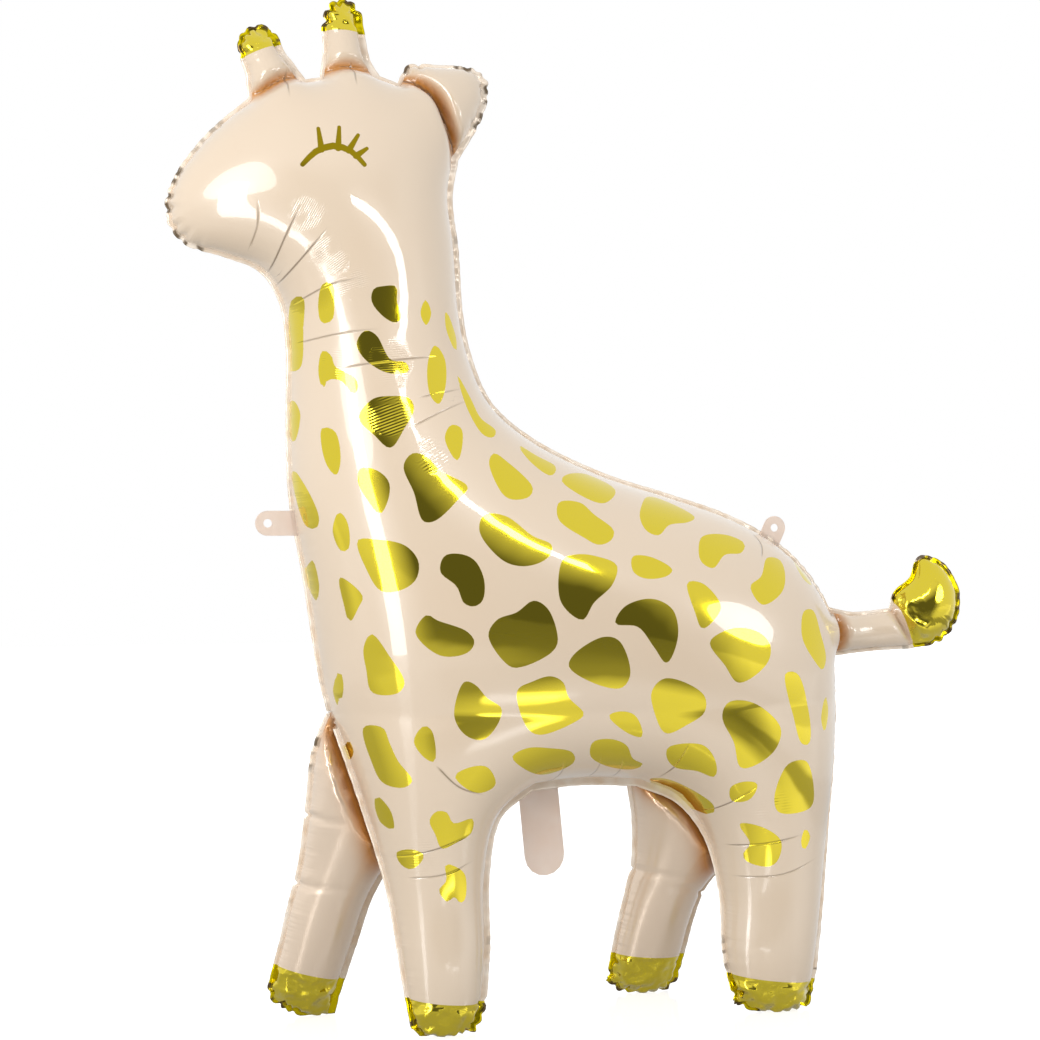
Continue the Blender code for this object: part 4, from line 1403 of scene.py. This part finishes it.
def tab_mesh(name, turn, place):
    """A flat strip with a round end and a punched hole, reaching out along +X before it is turned."""
    radius = TAB_WIDTH / 2
    arc = np.linspace(-np.pi / 2, np.pi / 2, 25)
    around = np.linspace(0, 2 * np.pi, 32, endpoint=False)
    end = [(TAB_REACH - radius + radius * np.cos(a), radius * np.sin(a)) for a in arc]
    edge = [(-TAB_ROOT, -radius), *end, (-TAB_ROOT, radius)]
    hole = [(TAB_REACH - radius + TAB_HOLE / 2 * np.cos(a), TAB_HOLE / 2 * np.sin(a)) for a in around]
    curve = bpy.data.curves.new(name, "CURVE")
    curve.dimensions, curve.fill_mode = "2D", "BOTH"
    curve.extrude = TAB_THICKNESS / 2 - TAB_EDGE
    curve.bevel_depth = TAB_EDGE
    curve.bevel_resolution = 1
    for ring in (edge, hole):
        spline = curve.splines.new("POLY")
        spline.points.add(len(ring) - 1)
        for point, (x, y) in zip(spline.points, ring):
            point.co = (x, y, 0, 1)
        spline.use_cyclic_u = True
    guide = bpy.data.objects.new(name, curve)
    bpy.context.scene.collection.objects.link(guide)
    guide.rotation_euler = (np.pi / 2, -turn, 0)
    guide.location = place
    mesh = evaluated_mesh(guide)
    mesh.transform(guide.matrix_world)
    bpy.data.objects.remove(guide, do_unlink=True)
    shell = bmesh.new()
    shell.from_mesh(mesh)
    bmesh.ops.remove_doubles(shell, verts=shell.verts, dist=1e-5)
    bmesh.ops.recalc_face_normals(shell, faces=shell.faces)
    shell.to_mesh(mesh)
    shell.free()
    mesh.materials.clear()
    return mesh


def edge_place(knots, height):
    """Where an edge of the outline passes a height."""
    line = smooth_stretch(np.array(knots) * MM, 0.002)
    return line[np.argmin(np.abs(line[:, 1] - height)), 0] - middle


# %% Place both tabs
RUMP_TAB_SINK = 0.013    # how much of the rump tab the border covers
chest_place = (edge_place(CHEST_AND_FACE, CHEST_TAB_HEIGHT), 0, CHEST_TAB_HEIGHT)
rump_place = (edge_place(NAPE_AND_BACK, RUMP_TAB_HEIGHT) - RUMP_TAB_SINK * np.cos(RUMP_TAB_TURN), 0,
              RUMP_TAB_HEIGHT - RUMP_TAB_SINK * np.sin(RUMP_TAB_TURN))
chest_tab = add_object("chest_tab", tab_mesh("chest_tab", np.pi, chest_place), tab_film)
rump_tab = add_object("rump_tab", tab_mesh("rump_tab", RUMP_TAB_TURN, rump_place), tab_film)
print("chest tab at %.3f m, rump tab at %.3f m" % (chest_place[0], rump_place[0]))

# %% [markdown]
# ## Pieces and the frame
#
# The skin, the border and both tabs take the place of the CAD envelope, and all of them belong to its one
# body. The CAD valve is already right in shape, so it only takes the film's material.

# %% Tie the pieces to the frame
skin = add_object("foil_skin", skin_mesh, skin_foil)
skin_mesh.shade_smooth()
border_object = add_object("weld_border", border_mesh, edge_foil)
border_mesh.shade_smooth()
for piece in (skin, border_object, chest_tab, rump_tab):
    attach(piece, "root")
    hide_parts("foil_envelope")
valve = bpy.data.objects["valve_tail"]
for slot in valve.material_slots:
    slot.material = tab_film
print("dressed pieces:", skin.name, border_object.name, chest_tab.name, rump_tab.name, valve.name)

# %% [markdown]
# ## Camera
#
# The camera stands 2 m from the balloon, 16 degrees round to its head side and level with its middle, as the
# four hooves of the photograph show.

# %% Camera
VIEW_TURN = np.radians(16.1)
VIEW_DISTANCE = 2.0
VIEW_HEIGHT = 0.5042
VIEW_CENTRE = -0.0705
VIEW_WIDTH = 1.0612      # metres of the balloon's plane that the frame takes in
camera_data = bpy.data.cameras.new("camera")
camera_data.sensor_width = 36
camera_data.lens = 36 * VIEW_DISTANCE / VIEW_WIDTH
camera = bpy.data.objects.new("camera", camera_data)
bpy.context.scene.collection.objects.link(camera)
camera.location = (VIEW_CENTRE - VIEW_DISTANCE * np.sin(VIEW_TURN), -VIEW_DISTANCE * np.cos(VIEW_TURN),
                   VIEW_HEIGHT)
camera.rotation_euler = (np.pi / 2, 0, -VIEW_TURN)
bpy.context.scene.camera = camera
bpy.context.scene.view_settings.view_transform = "Standard"
print("camera at", tuple(round(v, 3) for v in camera.location), "lens %.1f mm" % camera_data.lens)

# %% [markdown]
# ## Studio
#
# Foil is a mirror, so its look is the room's, and the room was read back from the gold spots. A tall strip and
# a round softbox above it stand on the head side, a thin strip hangs high and a little tilted, and a second
# round softbox stands on the tail side. Bearings are degrees from straight in front of the left flank,
# positive towards the tail.

# %% Softboxes
# A softbox: shape, bearing, distance, height of its centre, width, tallness, roll and brightness
SOFTBOXES = {
    "head_side_strip": ("RECTANGLE", -50, 1.40, 0.50, 0.22, 1.00, 0, 6.5),
    "head_side_softbox": ("ELLIPSE", -50, 1.41, 1.06, 0.74, 0.74, 0, 3.2),
    "high_softbox": ("RECTANGLE", 11, 1.05, 0.965, 0.71, 0.066, 6, 11.0),
    "tail_side_softbox": ("ELLIPSE", 51, 1.60, 0.74, 0.50, 0.50, 0, 4.5)}


def softbox(name, shape, bearing, distance, height, width, tallness, roll, brightness):
    """A light that faces the balloon and is not seen itself."""
    data = bpy.data.lights.new(name, "AREA")
    data.shape = shape
    data.size, data.size_y = width, tallness
    data.energy = brightness * np.pi * width * tallness
    lamp = bpy.data.objects.new(name, data)
    bpy.context.scene.collection.objects.link(lamp)
    turn = np.radians(bearing)
    lamp.location = (distance * np.sin(turn), -distance * np.cos(turn), height)
    lamp.rotation_euler = (np.pi / 2, np.radians(roll), turn)
    lamp.visible_camera = False


for name, values in SOFTBOXES.items():
    softbox(name, *values)
print("softboxes:", len(SOFTBOXES))

# %% [markdown]
# White surrounds fill the rest of the room. It is dark only round the photographer, which turns the gold
# olive there. To the camera itself the background is plain white.

# %% Surroundings
SURROUND = 0.95          # brightness of the white surrounds
DARK = 0.13              # brightness round the photographer
DARK_BEARING = (3, 36)   # middle and half width, in degrees
DARK_LIFT = (0, 20)      # middle and half height, in degrees
DARK_SOFT = 6            # softness of its edge, in degrees


def dark_band(tree, angle, middle_and_half):
    """How far an angle lies within a band of directions, from 0 to 1."""
    centre, half = np.radians(middle_and_half)
    soft = np.radians(DARK_SOFT)
    off = math_node(tree, "ABSOLUTE", math_node(tree, "SUBTRACT", angle, float(centre)))
    return ramp_between(tree, off, half - soft, half + soft, 1, 0)


def dark_share(tree, aside, ahead, lift=None):
    """How much of the dark part lies in a direction."""
    share = dark_band(tree, math_node(tree, "ARCTAN2", aside, ahead), DARK_BEARING)
    if lift is not None:
        share = product(tree, share, dark_band(tree, lift, DARK_LIFT))
    return share


def mix_values(tree, share, first, second):
    """Two numbers mixed, each a socket or a plain number."""
    node = add_node(tree, "ShaderNodeMix", data_type="FLOAT")
    tree.links.new(share, node.inputs[0])
    for socket, value in ((node.inputs[2], first), (node.inputs[3], second)):
        if isinstance(value, (int, float)):
            socket.default_value = value
        else:
            tree.links.new(value, socket)
    return node.outputs[0]


def studio_world():
    """White surroundings, dark round the photographer, and plain white to the camera."""
    world = bpy.data.worlds.new("studio")
    world.use_nodes = True
    tree = world.node_tree
    way = add_node(tree, "ShaderNodeSeparateXYZ")
    tree.links.new(add_node(tree, "ShaderNodeTexCoord").outputs["Generated"], way.inputs[0])
    ahead = math_node(tree, "MULTIPLY", way.outputs["Y"], -1.0)
    dark = dark_share(tree, way.outputs["X"], ahead, math_node(tree, "ARCSINE", way.outputs["Z"]))
    level = mix_values(tree, dark, SURROUND, DARK)
    seen = add_node(tree, "ShaderNodeLightPath").outputs["Is Camera Ray"]
    tree.links.new(mix_values(tree, seen, level, 1.0), tree.nodes["Background"].inputs["Strength"])
    tree.nodes["Background"].inputs["Color"].default_value = (1, 1, 1, 1)
    return world


bpy.context.scene.world = studio_world()
print("surroundings", SURROUND, "and", DARK, "in the dark part")

# %% [markdown]
# The floor is seen white by the camera. Its brightness is painted light: it glows, and the foil sees in it a
# sheet of paper with a painted shadow that dims it beside the balloon, one bright card on it, a dark ring
# where the paper ends, and darker again in front of the photographer.

# %% Floor
CARD = ((-0.10, 0.66), (0.10, 0.53))     # both ends of the bright card, metres aside and ahead
CARD_HALF, CARD_SOFT, CARD_LEVEL = 0.017, 0.05, 3.2
# The dim paper close to the balloon is a painted shadow
CLOSE_FLOOR = (0.12, 0.42)    # between these distances ahead, the paper turns from dim to full
CLOSE_LEVELS = (0.30, 0.72)
NEAR_FLOOR = (0.58, 0.78)     # and between these it gives way to the far floor
FAR_LEVELS = (0.5, 0.04)      # the far floor, and the same in front of the photographer
HEAD_SIDE = (-0.45, 0.35)     # metres aside over which the paper is dimmer towards the head
HEAD_LEVEL = 0.7
PAPER_END = (1.10, 1.16)      # the white paper ends this far out, with a dark ring of floor behind it
PAPER_GAP_END = (1.55, 1.75)
GAP_SPAN = (-0.6, 0.3)        # metres aside over which that ring darkens towards the tail
GAP_LEVELS = (0.40, 0.03)
CAMERA_LEVEL = 0.84           # what the camera sees of the floor
FLOOR_HALF = 6
FLOOR_DROP = 0.0005           # the floor lies this far under the soles


def floor_level(tree, aside, ahead):
    """Brightness that the floor glows with as the foil sees it: painted light, with a painted shadow beside
    the balloon.
    """
    far = mix_values(tree, dark_share(tree, aside, ahead), *FAR_LEVELS)
    close = ramp_between(tree, ahead, *CLOSE_FLOOR, *CLOSE_LEVELS)
    level = mix_values(tree, ramp_between(tree, ahead, *NEAR_FLOOR, 0, 1), close, far)
    level = mix_values(tree, ramp_between(tree, aside, *HEAD_SIDE, 0, 1), product(tree, level, HEAD_LEVEL),
                       level)
    squares = total(tree, math_node(tree, "POWER", aside, 2.0), math_node(tree, "POWER", ahead, 2.0))
    distance = math_node(tree, "SQRT", squares)
    gap = product(tree, ramp_between(tree, distance, *PAPER_END, 0, 1),
                  ramp_between(tree, distance, *PAPER_GAP_END, 1, 0))
    level = mix_values(tree, gap, level, ramp_between(tree, aside, *GAP_SPAN, *GAP_LEVELS))
    flat_place = add_node(tree, "ShaderNodeCombineXYZ")
    tree.links.new(aside, flat_place.inputs["X"])
    tree.links.new(ahead, flat_place.inputs["Z"])
    card = stroke_gap(tree, flat_place.outputs[0], *CARD, CARD_HALF, CARD_HALF)
    return mix_values(tree, ramp_between(tree, card, -CARD_SOFT, 0.01, 0, 1), level, CARD_LEVEL)


def pale_floor():
    """A white floor that glows with painted light and so gives the foil its reflections."""
    material, tree, shader, spot = new_material("pale_floor")
    place = add_node(tree, "ShaderNodeSeparateXYZ")
    tree.links.new(spot, place.inputs[0])
    level = floor_level(tree, place.outputs["X"], product(tree, place.outputs["Y"], -1.0))
    seen = add_node(tree, "ShaderNodeLightPath").outputs["Is Camera Ray"]
    tree.links.new(mix_values(tree, seen, level, CAMERA_LEVEL), shader.inputs["Emission Strength"])
    shader.inputs["Emission Color"].default_value = (1, 1, 1, 1)
    shader.inputs["Base Color"].default_value = (0.22, 0.22, 0.22, 1)
    shader.inputs["Roughness"].default_value = 0.10
    return material


corners = [(x * FLOOR_HALF, y * FLOOR_HALF, -FLOOR_DROP) for x, y in ((-1, -1), (1, -1), (1, 1), (-1, 1))]
floor_mesh = bpy.data.meshes.new("floor")
floor_mesh.from_pydata(corners, [], [(0, 1, 2, 3)])
add_object("floor", floor_mesh, pale_floor())
print("floor", 2 * FLOOR_HALF, "m wide")
